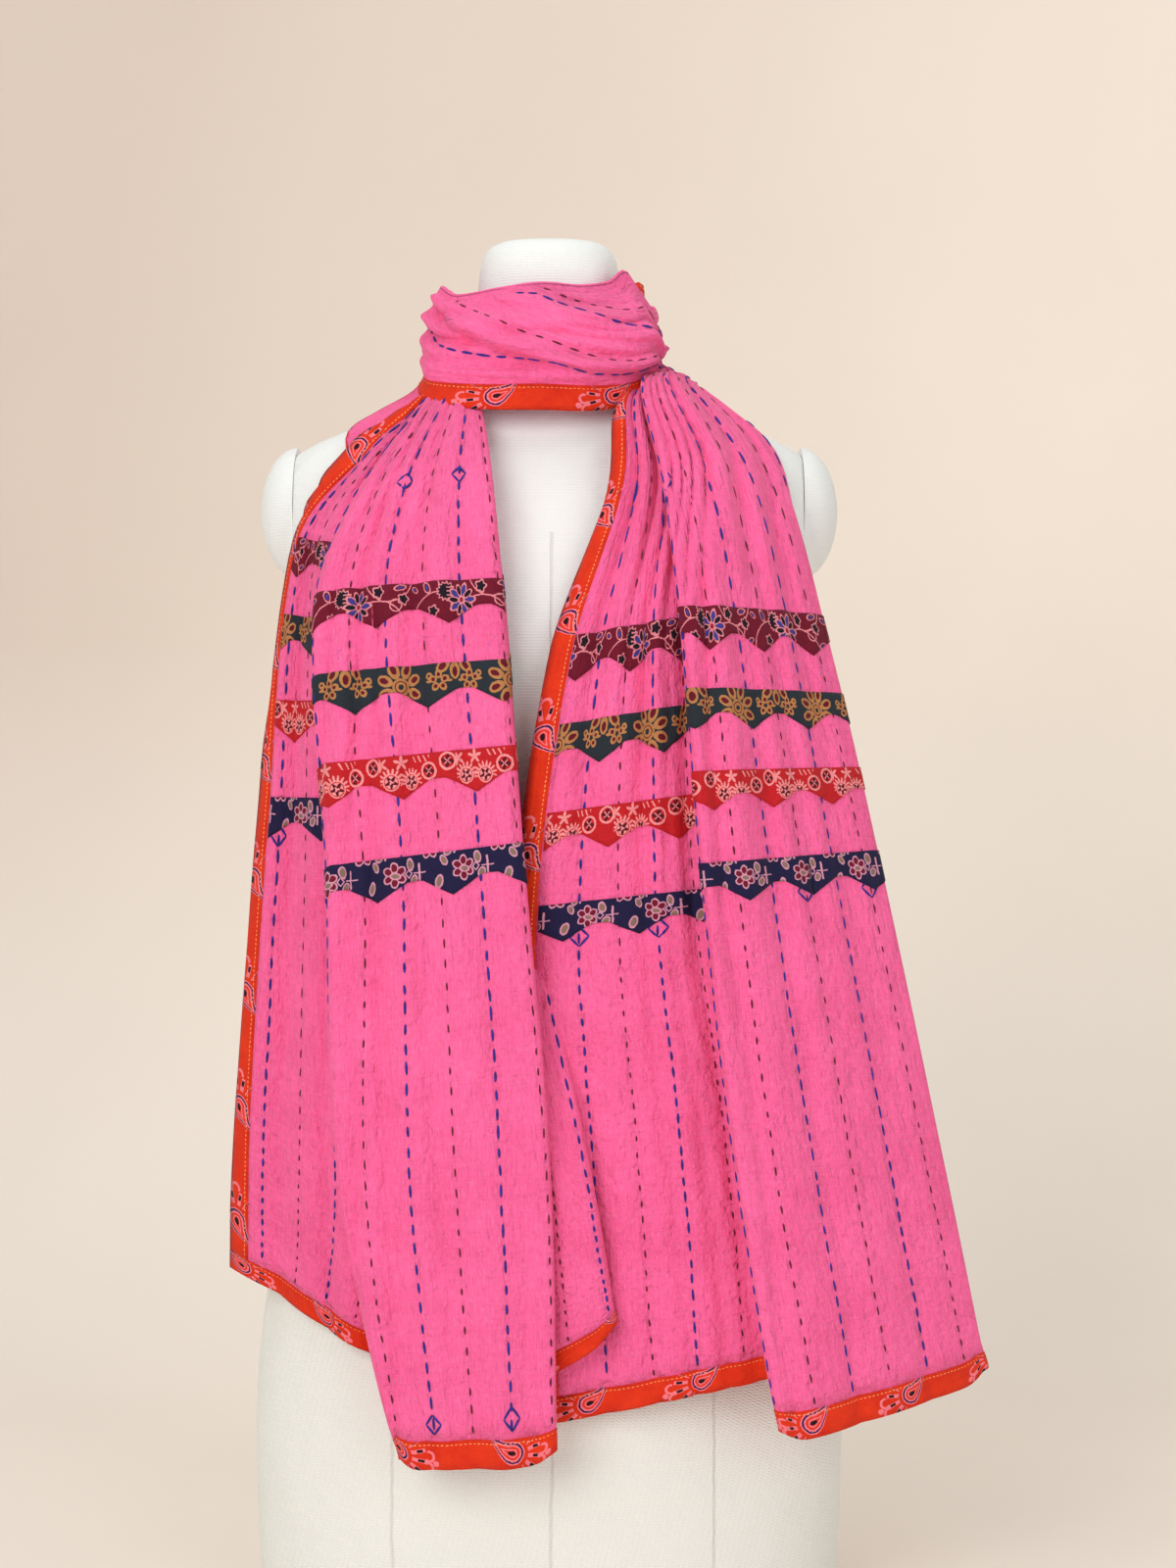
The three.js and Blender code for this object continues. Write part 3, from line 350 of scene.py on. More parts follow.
def section_knots(folds, forward):
    """The knots of one section across the cloth: width, point, slope and layer at each."""
    along = []
    for before, after in zip(folds, folds[1:]):
        way = after["p"] - before["p"]
        along.append(unit(way - forward * way.dot(forward)))
    knots = []
    layer = 0
    for i, fold in enumerate(folds):
        if not fold["turn"]:
            knots.append({"u": fold["u"], "p": fold["p"], "slope": None, "layer": layer})
            continue
        arc = math.pi * fold["width"] / 4
        over = forward * fold["turn"]
        half = fold["width"] / 2
        way = along[i - 1]
        halfway = layer + fold["turn"] / 2
        knots.append({"u": fold["u"] - arc, "p": fold["p"] - over * half, "slope": way, "layer": layer})
        knots.append({"u": fold["u"], "p": fold["p"] + way * half, "slope": over, "layer": halfway})
        layer += fold["turn"]
        knots.append({"u": fold["u"] + arc, "p": fold["p"] + over * half, "slope": -way, "layer": layer})
    lowest = min(knot["layer"] for knot in knots)
    for knot in knots:
        knot["layer"] -= lowest
    return knots


def section_points(knots, j, t, forward, bulge):
    """Points of a section at shares t of the interval after knot j, with their layers."""
    a, b = knots[j], knots[j + 1]
    du = b["u"] - a["u"]
    slope_a, slope_b = a["slope"], b["slope"]
    if j % FOLD_KNOTS == 0:
        chord = (b["p"] - a["p"]) / du
        slope_a = chord + forward * bulge
        slope_b = chord - forward * bulge
    t = t[:, None]
    points = hermite(0, a["p"], slope_a * du, 1, b["p"], slope_b * du, t)
    return points, (a["layer"] + (b["layer"] - a["layer"]) * t[:, 0])


def band_share(width, chord, across, shown):
    """How far along a layer the cloth lies at that distance from its edge.

    So much of the binding shows, and the rest of it is folded under. Neither part reaches far across the layer.
    """
    most_shown, most_under = 0.45, 0.7
    band = min(shown / chord, most_shown)
    under = BINDING_WIDTH - shown
    binding = np.abs(shown - (BINDING_WIDTH - width)) / max(chord, under / most_under)
    inside = band + (1 - band) * (width - BINDING_WIDTH) / (across - BINDING_WIDTH)
    return np.where(width <= BINDING_WIDTH, binding, inside)


def pleat(t, du, chord, count, most):
    """Small pleats take up cloth that is wider than the space it hangs in."""
    slack = math.sqrt(max(0, 1 - (chord / du) ** 2))
    amplitude = min(0.75 * slack * du / (2 * math.pi * count), most)
    fade = np.sqrt(np.maximum(0, np.sin(math.pi * t)))
    return amplitude * fade * np.sin(2 * math.pi * count * t + np.sin(math.pi * t))


def end_section(end, v):
    """An end's section at that distance from the hem: its knots and the way its layers are stacked."""
    names = list(STATIONS)

    def at(values):
        return smooth_value([{"v": STATIONS[name], "value": values(name)} for name in names], "v", "value", v)

    lean = math.radians(at(lambda name: LEANS[name]))
    forward = np.array([0, -math.cos(lean), math.sin(lean)])
    folds = []
    for fold in end["folds"]:
        place = np.array([at(lambda name: fold[name][axis]) for axis in range(3)])
        cloth = {"hem": fold["cloth_hem"], "low": (fold["cloth_hem"] + fold["cloth"]) / 2}
        width = at(lambda name: cloth.get(name, fold["cloth"]))
        folds.append({"u": width, "turn": fold["turn"], "width": at(lambda name: FOLD_WIDTHS[name]), "p": place})
    depths = [at(lambda name: table[name]) for table in (PLEAT_MOST, SWAY, end["depths"])]
    shown = [at(lambda name: table[name]) for table in end["shown"]]
    return section_knots(folds, forward), forward, shown, *depths


def gathered(points, forward, end, v, depth):
    """Raises all layers of a row together into rounded gathers, with creases between them that drift a little."""
    usual_width, roundness, most_drift = 8, 0.65, 0.012
    left, right = points[:, 0].min(), points[:, 0].max()
    share = (points[:, 0] - left) / (right - left)
    rise = min(max((v - STATIONS["strip4"]) / (STATIONS["collar"] - STATIONS["strip4"]), 0), 1)
    creases = np.array([low * (1 - rise) + high * rise for low, high in end["creases"]])
    for k in range(1, len(creases) - 1):
        creases[k] += most_drift * noise.noise(Vector((k * 1.7, v / 70, end["side"] * 1.3)))
    fold = np.interp(share, creases, np.arange(len(creases)))
    k = np.minimum(fold.astype(int), len(creases) - 2)
    wide = np.diff(creases)[k] * (right - left)
    heights = np.array(end["crests"])[k]
    crest = np.abs(np.sin(math.pi * fold)) ** roundness * np.sqrt(np.maximum(wide, 1) / usual_width) * heights
    return points + forward * (depth * crest)[:, None]


def end_row(end, v):
    """One row of an end's cloth: the width of each column, and its point."""
    knots, forward, shown, most, sway, depth = end_section(end, v)
    last = len(knots) - 2
    widths, rows = [], []
    for j in range(last + 1):
        a, b = knots[j], knots[j + 1]
        du = b["u"] - a["u"]
        chord = float(np.linalg.norm(b["p"] - a["p"]))
        of_layer, number = j % FOLD_KNOTS == 0, j // FOLD_KNOTS
        along = np.linspace(0, 1, (end["steps"][number] if of_layer else FOLD_PARTS) + 1)
        if j < last:
            along = along[:-1]
        if j == 0:
            u = np.concatenate([BINDING_STEPS, BINDING_WIDTH + (b["u"] - BINDING_WIDTH) * along])
            t = band_share(u, chord, du, shown[0])
        elif j == last:
            u = np.concatenate([a["u"] + (du - BINDING_WIDTH) * along, CLOTH_WIDTH - np.array(BINDING_STEPS[::-1])])
            t = 1 - band_share(CLOTH_WIDTH - u, chord, du, shown[1])
        else:
            u, t = a["u"] + du * along, along
        points, layer = section_points(knots, j, t, forward, end["bulges"][number])
        if of_layer:
            points = points + forward * pleat(t, du, chord, end["pleats"][number], most)[:, None]
        stir = [sway * noise.noise(Vector((x / 90, v / 140, end["side"] * 3.7))) for x in u]
        points = points + forward * np.array(stir)[:, None]
        if j in (0, last):
            from_edge, seen = (u, shown[0]) if j == 0 else (CLOTH_WIDTH - u, shown[1])
            under = np.clip((BINDING_WIDTH - from_edge - seen) / TUCK_RAMP, 0, 1)
            points = points - forward * (TUCK_DEPTH * under)[:, None]
            layer = layer - under * TUCK_LAYERS
        rows.append(off_the_form(points - forward * depth * GATHER_BELOW, layer))
        widths.append(u)
    widths, points = np.concatenate(widths), gathered(np.concatenate(rows), forward, end, v, depth)
    for knot in knots[FOLD_KNOTS - 1:-1:FOLD_KNOTS]:
        near = math.exp(-(v / CORNER_LONG) ** 2) * np.exp(-((widths - knot["u"]) / CORNER_REACH) ** 2)
        points[:, 2] += CORNER_LIFT * near
    return widths, points


def grid_normals(points, side, closed=False):
    """The face normals of a grid of points[row, column]."""
    if closed:
        along = np.roll(points, -1, axis=0) - np.roll(points, 1, axis=0)
    else:
        along = np.gradient(points, axis=0)
    across = np.gradient(points, axis=1)
    normals = np.cross(across, along) * side
    return normals / np.maximum(np.linalg.norm(normals, axis=2, keepdims=True), 1e-9)


def cloth_patch(rows, lengths, side, closed=False):
    """A patch of cloth: each row's widths and points, how far along the cloth it is, and the face normals."""
    points = np.array([row[1] for row in rows])
    return {
        "u": np.array([row[0] for row in rows]), "v": np.array(lengths, dtype=float), "p": points,
        "n": grid_normals(points, side, closed), "side": side, "closed": closed,
    }


def loop_values(angle):
    """The loop's heights, radii and bulge at an angle."""
    rows = [{**row, "angle": row["angle"] + turn} for turn in (-360, 0, 360) for row in LOOP_ROWS]
    names = ("low", "high", "low_radius", "high_radius", "bulge")
    return [smooth_value(rows, "angle", name, angle) for name in names]


def from_front(angle):
    """An angle round the loop as degrees from the front, up to half a turn either way."""
    return (angle + 180) % 360 - 180


# Soft folds across the loop: how high each one stands, how far up it reaches, and where its lip lies, as the
# share of the way up at angles from the front
LOOP_FOLDS = [
    {"height": 13.5, "reach": 0.26, "lip": (
        (100, 0.95), (75, 0.92), (51, 0.835), (39, 0.684), (23, 0.533), (8.7, 0.42), (-7, 0.342), (-21, 0.31),
        (-42, 0.294), (-54, 0.3), (-68, 0.34),
    )},
    {"height": 6.6, "reach": 0.1, "lip": ((80, 0.72), (62, 0.66), (50, 0.63), (38, 0.6))},
    {"height": 7.8, "reach": 0.16, "lip": (
        (-10, 0.62), (-17, 0.596), (-38.5, 0.549), (-53, 0.5), (-70, 0.453), (-90, 0.42),
    )},
    {"height": 5.9, "reach": 0.09, "lip": ((-22, 0.66), (-27, 0.645), (-45, 0.6), (-70, 0.52), (-90, 0.5))},
    {"height": 5.1, "reach": 0.1, "lip": ((-20, 0.25), (-30, 0.21), (-45, 0.17), (-63, 0.18), (-80, 0.3))},
    {"height": 5.1, "reach": 0.09, "lip": (
        (84, 1.04), (60, 0.95), (42, 0.84), (22, 0.7), (4, 0.58), (-12, 0.5), (-34, 0.44), (-50, 0.42),
    )},
    {"height": 5.5, "reach": 0.1, "lip": (
        (34, 0.98), (12, 0.84), (-8, 0.76), (-28, 0.72), (-50, 0.66), (-76, 0.62),
    )},
    {"height": 5.1, "reach": 0.12, "lip": ((4, 0.97), (-14, 0.9), (-34, 0.85), (-52, 0.8), (-76, 0.78))},
    {"height": 3.5, "reach": 0.1, "lip": ((70, 0.36), (50, 0.3), (24, 0.27), (0, 0.22))},
    {"height": 6.6, "reach": 0.3, "lip": (
        (260, 0.42), (220, 0.5), (180, 0.62), (140, 0.74), (110, 0.84), (100, 0.86),
    )},
    {"height": 5.5, "reach": 0.14, "lip": ((250, 0.2), (215, 0.28), (180, 0.34), (150, 0.4), (120, 0.5))},
    {"height": 5.1, "reach": 0.12, "lip": ((255, 0.72), (225, 0.78), (190, 0.86), (160, 0.93))},
]

# Where each line of stitches runs round the loop, by angle and share of the way up, and between which angles it
# shows
LOOP_LINES = {
    30: (
        (-180, 0.5), (-120, 0.42), (-90, 0.36), (-68, 0.33), (-51, 0.3), (-38, 0.28), (-21, 0.29), (-7, 0.35),
        (8.7, 0.406), (23, 0.43), (38, 0.477), (67, 0.612), (90, 0.64), (120, 0.62), (180, 0.5),
    ),
    58: (
        (-180, 0.8), (-120, 0.55), (-90, 0.42), (-68, 0.37), (-51, 0.352), (-32, 0.374), (-21, 0.42), (-7, 0.5),
        (3, 0.565), (19, 0.708), (31, 0.803), (51, 0.98), (67, 1.1), (120, 1.05), (180, 0.8),
    ),
    86: (
        (-180, 1.1), (-120, 0.75), (-90, 0.56), (-55, 0.55), (-38, 0.676), (-22, 0.77), (-7, 0.85), (1, 0.907),
        (13, 0.93), (30, 1.05), (51, 1.2), (90, 1.35), (180, 1.1),
    ),
    114: (
        (-180, 1.3), (-120, 1.0), (-90, 0.82), (-68, 0.74), (-51, 0.72), (-36, 0.803), (-21, 0.867), (-9, 0.915),
        (5, 1.0), (30, 1.25), (60, 1.4), (90, 1.5), (180, 1.3),
    ),
}
LOOP_SEWN = {30: (-8, 352), 58: (-95, 262), 86: (-100, 250), 114: (-110, 200)}
LOOP_BLUE = (30, 86)


def line_share(u, angle):
    """How far up the loop a line of stitches runs at an angle."""
    rows = LOOP_LINES[u]
    return np.interp(from_front(angle), [row[0] for row in rows], [row[1] for row in rows])


def loop_relief(angle, share):
    """How far the loop's outer layer stands out where its folds lie over each other, less on its right side."""
    fade_over, lip_sharp = 25, 0.009
    relief = np.zeros_like(share)
    for fold in LOOP_FOLDS:
        angles, lips = zip(*fold["lip"][::-1])
        before, after = angle - angles[0] + fade_over, angles[-1] + fade_over - angle
        fade = np.clip(before / fade_over, 0, 1) * np.clip(after / fade_over, 0, 1)
        above = share - np.interp(angle, angles, lips)
        step = 1 / (1 + np.exp(-np.clip(above / lip_sharp, -60, 60)))
        relief += fold["height"] * fade * step * np.exp(-np.maximum(above, 0) / fold["reach"])
    return relief * (np.clip((angle + 72) / 20, 0.12, 1) if angle > -95 else 1)


LOOP_SHARES = np.concatenate([np.array([0, 0.05, 0.1, 0.15]), np.linspace(0.2, 1, LOOP_OUTER - 3)])


def loop_row(angle):
    """One row across the loop's layers, from its lower edge inwards."""
    low, high, low_radius, high_radius, bulge = loop_values(angle)
    rad = math.radians(angle)
    outward = np.array([-math.sin(rad), -math.cos(rad), 0])
    corner = LOOP_RISE * math.exp(-((from_front(angle) - LOOP_CORNER) / 8) ** 2)
    last_edge = len(LOOP_CLOTH) - 1
    folds = []
    for i, u in enumerate(LOOP_CLOTH):
        top = i % 2 == 1
        rise = corner if i == last_edge else 0
        radius = (high_radius if top else low_radius) - max(0, i - 0.5) * LOOP_PITCH
        height = high - 1.2 * (i - 1) + rise if top else low + 1.4 * i
        place = outward * (radius + rise * 0.3) + np.array([LOOP_CENTRE, 0, height])
        folds.append({"u": u, "p": place, "turn": 0 if i in (0, last_edge) else -1, "width": LOOP_PITCH - 0.3})
    knots = section_knots(folds, outward)
    last = len(knots) - 2
    widths, rows = [], []
    for j in range(last + 1):
        a, b = knots[j], knots[j + 1]
        of_layer, number = j % FOLD_KNOTS == 0, j // FOLD_KNOTS
        if j == 0:
            t = LOOP_SHARES[:-1]
            u = cloth_width_on_loop(angle, t)
        else:
            t = np.linspace(0, 1, LOOP_STEPS[number] if of_layer else FOLD_PARTS, endpoint=False)
            if j == last:
                t = np.concatenate([np.linspace(0, 0.74, LOOP_STEPS[-1]), [0.8, 0.87, 0.94, 1.0]])
            u = a["u"] + (b["u"] - a["u"]) * t
        points, _ = section_points(knots, j, t, outward, 0)
        if of_layer:
            upward = t if number % 2 == 0 else 1 - t
            arch = np.sin(math.pi * upward)
            ripple = LOOP_RIPPLE * np.sin(math.pi * LOOP_RIPPLES * upward + 0.6 * math.sin(2 * rad))
            swell = bulge * arch * (1 - number * 0.12) + ripple * arch ** 0.5
            if j == 0:
                ends = np.sin(math.pi * np.minimum(upward + 0.06, 1)) ** 0.4
                swell = swell + loop_relief(angle, upward) * ends
            points = points + outward * swell[:, None]
        inward = LOOP_LAYER * (last - j) / FOLD_KNOTS
        rows.append(off_the_form(points, inward, LOOP_CLEARANCE))
        widths.append(u)
    return np.concatenate(widths), np.concatenate(rows)


def cloth_width_on_loop(angle, shares):
    """Across the cloth at shares of the way up the loop, from where its lines of stitches run."""
    known = [0, 0.2] + [line_share(u, angle) for u in LOOP_LINES]
    widths = [0, BINDING_WIDTH] + list(LOOP_LINES)
    step = (widths[-1] - widths[-2]) / max(known[-1] - known[-2], 0.05)
    return np.interp(shares, known + [known[-1] + 1], widths + [widths[-1] + step])


END_ROWS_AT = np.concatenate([
    BINDING_STEPS, np.arange(BINDING_WIDTH, 560, 12), np.arange(562, END_LENGTH, 6.5), [END_LENGTH],
])
left_end = cloth_patch([end_row(LEFT_END, v) for v in END_ROWS_AT], END_ROWS_AT, 1)
right_end = cloth_patch([end_row(RIGHT_END, v) for v in END_ROWS_AT], END_ROWS_AT, -1)
LOOP_ANGLES = np.arange(LOOP_ROUND) * 360 / LOOP_ROUND - 180
loop = cloth_patch([loop_row(a) for a in LOOP_ANGLES], LOOP_ANGLES * LOOP_ALONG, 1, True)


# Making meshes

def clear_selection():
    """Leaves nothing selected."""
    bpy.ops.object.select_all(action="DESELECT")


def new_object(name, verts, faces, uvs=None, wraps=0):
    """A mesh object from points in millimetres, with a UV for each vertex, that may start again after a length."""
    mesh = bpy.data.meshes.new(name)
    mesh.from_pydata([tuple(c * MM for c in v) for v in verts], [], faces)
    if uvs is not None:
        layer = mesh.uv_layers.new(name="cloth")
        corners = np.array([uvs[i] for face in mesh.polygons for i in face.vertices], dtype=float)
        if wraps:
            along = corners.reshape(len(mesh.polygons), -1, 2)[:, :, 1]
            over_seam = (np.ptp(along, axis=1) > wraps * MM / 2)[:, None]
            along[over_seam & (along < 0)] += wraps * MM
        layer.data.foreach_set("uv", corners.ravel())
    for face in mesh.polygons:
        face.use_smooth = True
    thing = bpy.data.objects.new(name, mesh)
    bpy.context.collection.objects.link(thing)
    return thing


def grid_faces(rows, columns, side, closed=False, start=0):
    """The faces of a grid of points, numbered from start. A closed grid's last row meets its first."""
    faces = []
    for r in range(rows if closed else rows - 1):
        for c in range(columns - 1):
            a, b = start + r * columns + c, start + ((r + 1) % rows) * columns + c
            quad = (a, a + 1, b + 1, b)
            faces.append(quad if side > 0 else quad[::-1])
    return faces


def only(thing):
    """Selects one object and makes it active."""
    clear_selection()
    thing.select_set(True)
    bpy.context.view_layer.objects.active = thing


def finish_with(thing, kind, **settings):
    """Adds a modifier and applies it."""
    only(thing)
    modifier = thing.modifiers.new(kind.title(), kind)
    for name, value in settings.items():
        setattr(modifier, name, value)
    bpy.ops.object.modifier_apply(modifier=modifier.name)


def thicken(thing, thick):
    """Gives a sheet its thickness, half of it to each side."""
    finish_with(thing, "SOLIDIFY", thickness=thick * MM, offset=0, use_even_offset=False)


def band_place(points, across, lengthwise, offset):
    """Across a binding and along it, in millimetres, with the length measured on the piece itself."""
    if not lengthwise:
        points = points.transpose(1, 0, 2)
    middle = points[:, points.shape[1] // 2]
    lengths = np.concatenate([[0], np.cumsum(np.linalg.norm(np.diff(middle, axis=0), axis=1))]) - offset
    along = np.repeat(lengths[:, None], points.shape[1], axis=1)
    return across, along if lengthwise else along.T


def patch_piece(name, parts, band=None):
    """A sheet of the chosen rows and columns of one or more patches, with their places across and along the cloth.

    A band of binding, given by its kind and where its print starts, has places across and along the band.
    """
    verts, uvs, faces = [], [], []
    for patch, rows, columns in parts:
        p, u = patch["p"][rows, columns], patch["u"][rows, columns]
        v = np.repeat(patch["v"][rows][:, None], u.shape[1], axis=1)
        if band:
            kind, offset = band
            across = {"hem": v, "outer": u, "inner": CLOTH_WIDTH - u}[kind]
            u, v = band_place(p, across, kind != "hem", offset)
        faces += grid_faces(p.shape[0], p.shape[1], patch["side"], patch["closed"], len(verts))
        verts += [tuple(q) for q in p.reshape(-1, 3)]
        uvs += [(a * MM, b * MM) for a, b in zip(u.ravel(), v.ravel())]
    return new_object(name, verts, faces, uvs, 360 * LOOP_ALONG if parts[-1][0]["closed"] else 0)


def arc_piece(name, patch, first, last, columns):
    """A band of the loop's binding from one angle to another, or all the way round."""
    whole = last - first == 360
    turn, print_start = 360 / LOOP_ROUND, 26
    chosen = [k for k in range(-LOOP_ROUND, LOOP_ROUND) if first <= k * turn <= last]
    if whole:
        chosen = range(LOOP_ROUND)
    rows = [(k + LOOP_ROUND // 2) % LOOP_ROUND for k in chosen]
    p = patch["p"][rows][:, columns]
    count, wide = p.shape[:2]
    across = np.tile(np.linspace(0, BINDING_WIDTH, wide), count)
    along = np.repeat([k * 360 / LOOP_ROUND * LOOP_ALONG - print_start for k in chosen], wide)
    uvs = [(a * MM, b * MM) for a, b in zip(across, along)]
    faces = grid_faces(count, wide, patch["side"], whole)
    return new_object(name, p.reshape(-1, 3), faces, uvs, 360 * LOOP_ALONG if whole else 0)


# Hand sewing

def sampler(points, normals, across, along):
    """Finds the point and normal of a surface at any place, from evenly spaced columns of its rows."""
    spread = np.linspace(across.min(), across.max(), 400)

    def evenly(grid):
        rows = [[np.interp(spread, a, row[:, k]) for k in range(3)] for a, row in zip(across, grid)]
        return np.array(rows).transpose(0, 2, 1)

    p, n = evenly(points), evenly(normals)

    def at(u, v):
        r = np.interp(v, along, np.arange(len(along)))
        c = np.interp(u, spread, np.arange(len(spread)))
        r0 = np.minimum(r.astype(int), len(along) - 2)
        c0 = np.minimum(c.astype(int), len(spread) - 2)
        dr, dc = (r - r0)[..., None], (c - c0)[..., None]

        def mixed(grid):
            low = grid[r0, c0] * (1 - dc) + grid[r0, c0 + 1] * dc
            high = grid[r0 + 1, c0] * (1 - dc) + grid[r0 + 1, c0 + 1] * dc
            return low * (1 - dr) + high * dr

        normal = mixed(n)
        return mixed(p), normal / np.maximum(np.linalg.norm(normal, axis=-1, keepdims=True), 1e-9)

    return at


left_at = sampler(left_end["p"], left_end["n"], left_end["u"], left_end["v"])
right_at = sampler(right_end["p"], right_end["n"], right_end["u"], right_end["v"])
loop_at = sampler(
    *(np.concatenate([loop[grid], loop[grid][:1]])[:, :LOOP_OUTER + 1] for grid in ("p", "n")),
    np.tile(LOOP_SHARES, (LOOP_ROUND + 1, 1)), np.concatenate([LOOP_ANGLES, [180]]),
)


def stitch_shape():
    """The points and faces of one raised running stitch of unit size, tapering at both ends."""
    clear_selection()
    bpy.ops.mesh.primitive_uv_sphere_add(segments=4, ring_count=4, radius=1)
    stitch = bpy.context.object
    bpy.ops.object.mode_set(mode="EDIT")
    bpy.ops.transform.rotate(value=math.pi / 2, orient_axis="Y", center_override=(0, 0, 0))
    bpy.ops.transform.resize(value=(1.12, 1, 1), center_override=(0, 0, 0))
    bpy.ops.mesh.normals_make_consistent(inside=False)
    bpy.ops.object.mode_set(mode="OBJECT")
    verts = np.array([v.co for v in stitch.data.vertices])
    faces = [tuple(f.vertices) for f in stitch.data.polygons]
    bpy.data.objects.remove(stitch)
    return verts, faces


STITCH_VERTS, STITCH_FACES = stitch_shape()


def sewn(at, starts, ends, width, proud, face=1):
    """The points of a stitch from each start to each end, bent to the surface and standing proud of it.

    A stitch that a fold draws out too long, or to almost nothing, is left out.
    """
    starts, ends = np.asarray(starts, float), np.asarray(ends, float)
    knots = [at(*(starts * (1 - t) + ends * t).T) for t in (0, 0.5, 1)]
    base = CLOTH_THICK / 2 + proud
    a, b, c = (p + n * base * face for p, n in knots)
    normal = knots[1][1] * face
    along = c - a
    length = np.linalg.norm(along, axis=1, keepdims=True)
    aside = np.cross(normal, along / np.maximum(length, 1e-9))
    x = (STITCH_VERTS[:, 0] + 1) / 2
    shares = ((1 - x) * (1 - 2 * x), 4 * x * (1 - x), x * (2 * x - 1))
    verts = sum(point[:, None] * share[None, :, None] for point, share in zip((a, b, c), shares))
    verts = verts + aside[:, None] * STITCH_VERTS[None, :, 1:2] * width / 2
    verts = verts + normal[:, None] * STITCH_VERTS[None, :, 2:3] * width * STITCH_RISE
    return verts[(length[:, 0] > 1) & (length[:, 0] < LONGEST_STITCH)]


def thread_piece(name, parts):
    """One object of all the stitches in one thread."""
    verts = np.concatenate(parts)
    count = len(STITCH_VERTS)
    faces = [tuple(i * count + k for k in face) for i in range(len(verts)) for face in STITCH_FACES]
    return new_object(name, verts.reshape(-1, 3), faces)


steady = np.random.default_rng(11)


def running_line(u, start, stop, length, pitch):
    """Starts and ends of one line of running stitch along the cloth."""
    starts, ends = [], []
    v = start + steady.uniform(0, pitch)
    while v < stop:
        long = length * steady.uniform(0.78, 1.2)
        wander = 0.8 * noise.noise(Vector((u * 3.1, v / 60, 0.5)))
        starts.append((u + wander + steady.uniform(-0.25, 0.25), v))
        ends.append((u + wander + steady.uniform(-0.25, 0.25), v + long))
        v += pitch * steady.uniform(0.9, 1.12)
    return starts, ends


def diamond(u, v, half_width, half_height):
    """The four stitches of a small diamond."""
    corners = [(u, v - half_height), (u + half_width, v), (u, v + half_height), (u - half_width, v)]
    return corners, corners[1:] + corners[:1]


def end_stitches(at, diamonds):
    """The blue and the maroon stitches of an end, on both its faces."""
    blue, maroon = [], []
    for j, u in enumerate(STITCH_LINES):
        thread, parts = (BLUE, blue) if j % 2 == 0 else (MAROON, maroon)
        for face in (1, -1):
            line = running_line(u, BINDING_WIDTH + 2, END_LENGTH - 8, thread["length"], thread["pitch"])
            parts.append(sewn(at, *line, thread["width"], STITCH_PROUD, face))
    for place in diamonds:
        blue.append(sewn(at, *diamond(*place), DIAMOND_WIDTH, 2 * STITCH_PROUD))
    return blue, maroon


def loop_stitches():
    """The blue and the maroon stitches of the loop's outer layer."""
    blue, maroon = [], []
    for u, (angle, stop) in LOOP_SEWN.items():
        thread, parts = (BLUE, blue) if u in LOOP_BLUE else (MAROON, maroon)
        starts, ends = [], []
        while angle < stop:
            long = thread["length"] * steady.uniform(0.78, 1.2) / LOOP_ALONG
            start, end = ((line_share(u, a), from_front(a)) for a in (angle, angle + long))
            if max(start[0], end[0]) < 0.97 and abs(start[1] - end[1]) < 30:
                starts.append(start)
                ends.append(end)
            angle += thread["pitch"] * 0.86 / LOOP_ALONG * steady.uniform(0.9, 1.12)
        parts.append(sewn(loop_at, starts, ends, thread["width"], STITCH_PROUD))
    return blue, maroon


# Applied strips

def scallop_height(u, start):
    """How far above its points a strip's lower edge is."""
    turn = ((u - start) / SCALLOP_PITCH) % 1
    beside = np.minimum(turn, 1 - turn) * 2
    return SCALLOP_DEPTH * np.minimum(1, np.minimum(beside * 1.25, 0.9 + beside * 0.1))


def strip_piece(name, at, side, top, start):
    """A strip sewn on across an end, its lower edge cut to points. Its print reads from left to right."""
    first, last = STRIP_INSET, CLOTH_WIDTH - STRIP_INSET
    points = np.concatenate([np.linspace(first, last, 201), start + SCALLOP_PITCH * np.arange(-1, 13)])
    points = np.unique(points[(points >= first) & (points <= last)])
    shares = np.array([0, 0.12, 0.35, 0.6, 0.82, 1.0])
    u = np.repeat(points[None, :], len(shares), axis=0)
    low = top - STRIP_DEPTH + scallop_height(points, start)
    v = low[None, :] * (1 - shares[:, None]) + top * shares[:, None]
    p, n = at(u, v)
    verts = p + n * (CLOTH_THICK / 2 + STRIP_GAP + STRIP_THICK / 2)
    uvs = [(side * a * MM, (b - top) * MM) for a, b in zip(u.ravel(), v.ravel())]
    piece = new_object(name, verts.reshape(-1, 3), grid_faces(len(shares), len(points), side), uvs)
    thicken(piece, STRIP_THICK)
    return piece


# Dress form

def pick(thing, test):
    """Selects the vertices that pass a test, in edit mode."""
    mesh = bmesh.from_edit_mesh(thing.data)
    bpy.ops.mesh.select_all(action="DESELECT")
    for vert in mesh.verts:
        vert.select = bool(test(vert.co))
    mesh.select_flush(True)
    bmesh.update_edit_mesh(thing.data)


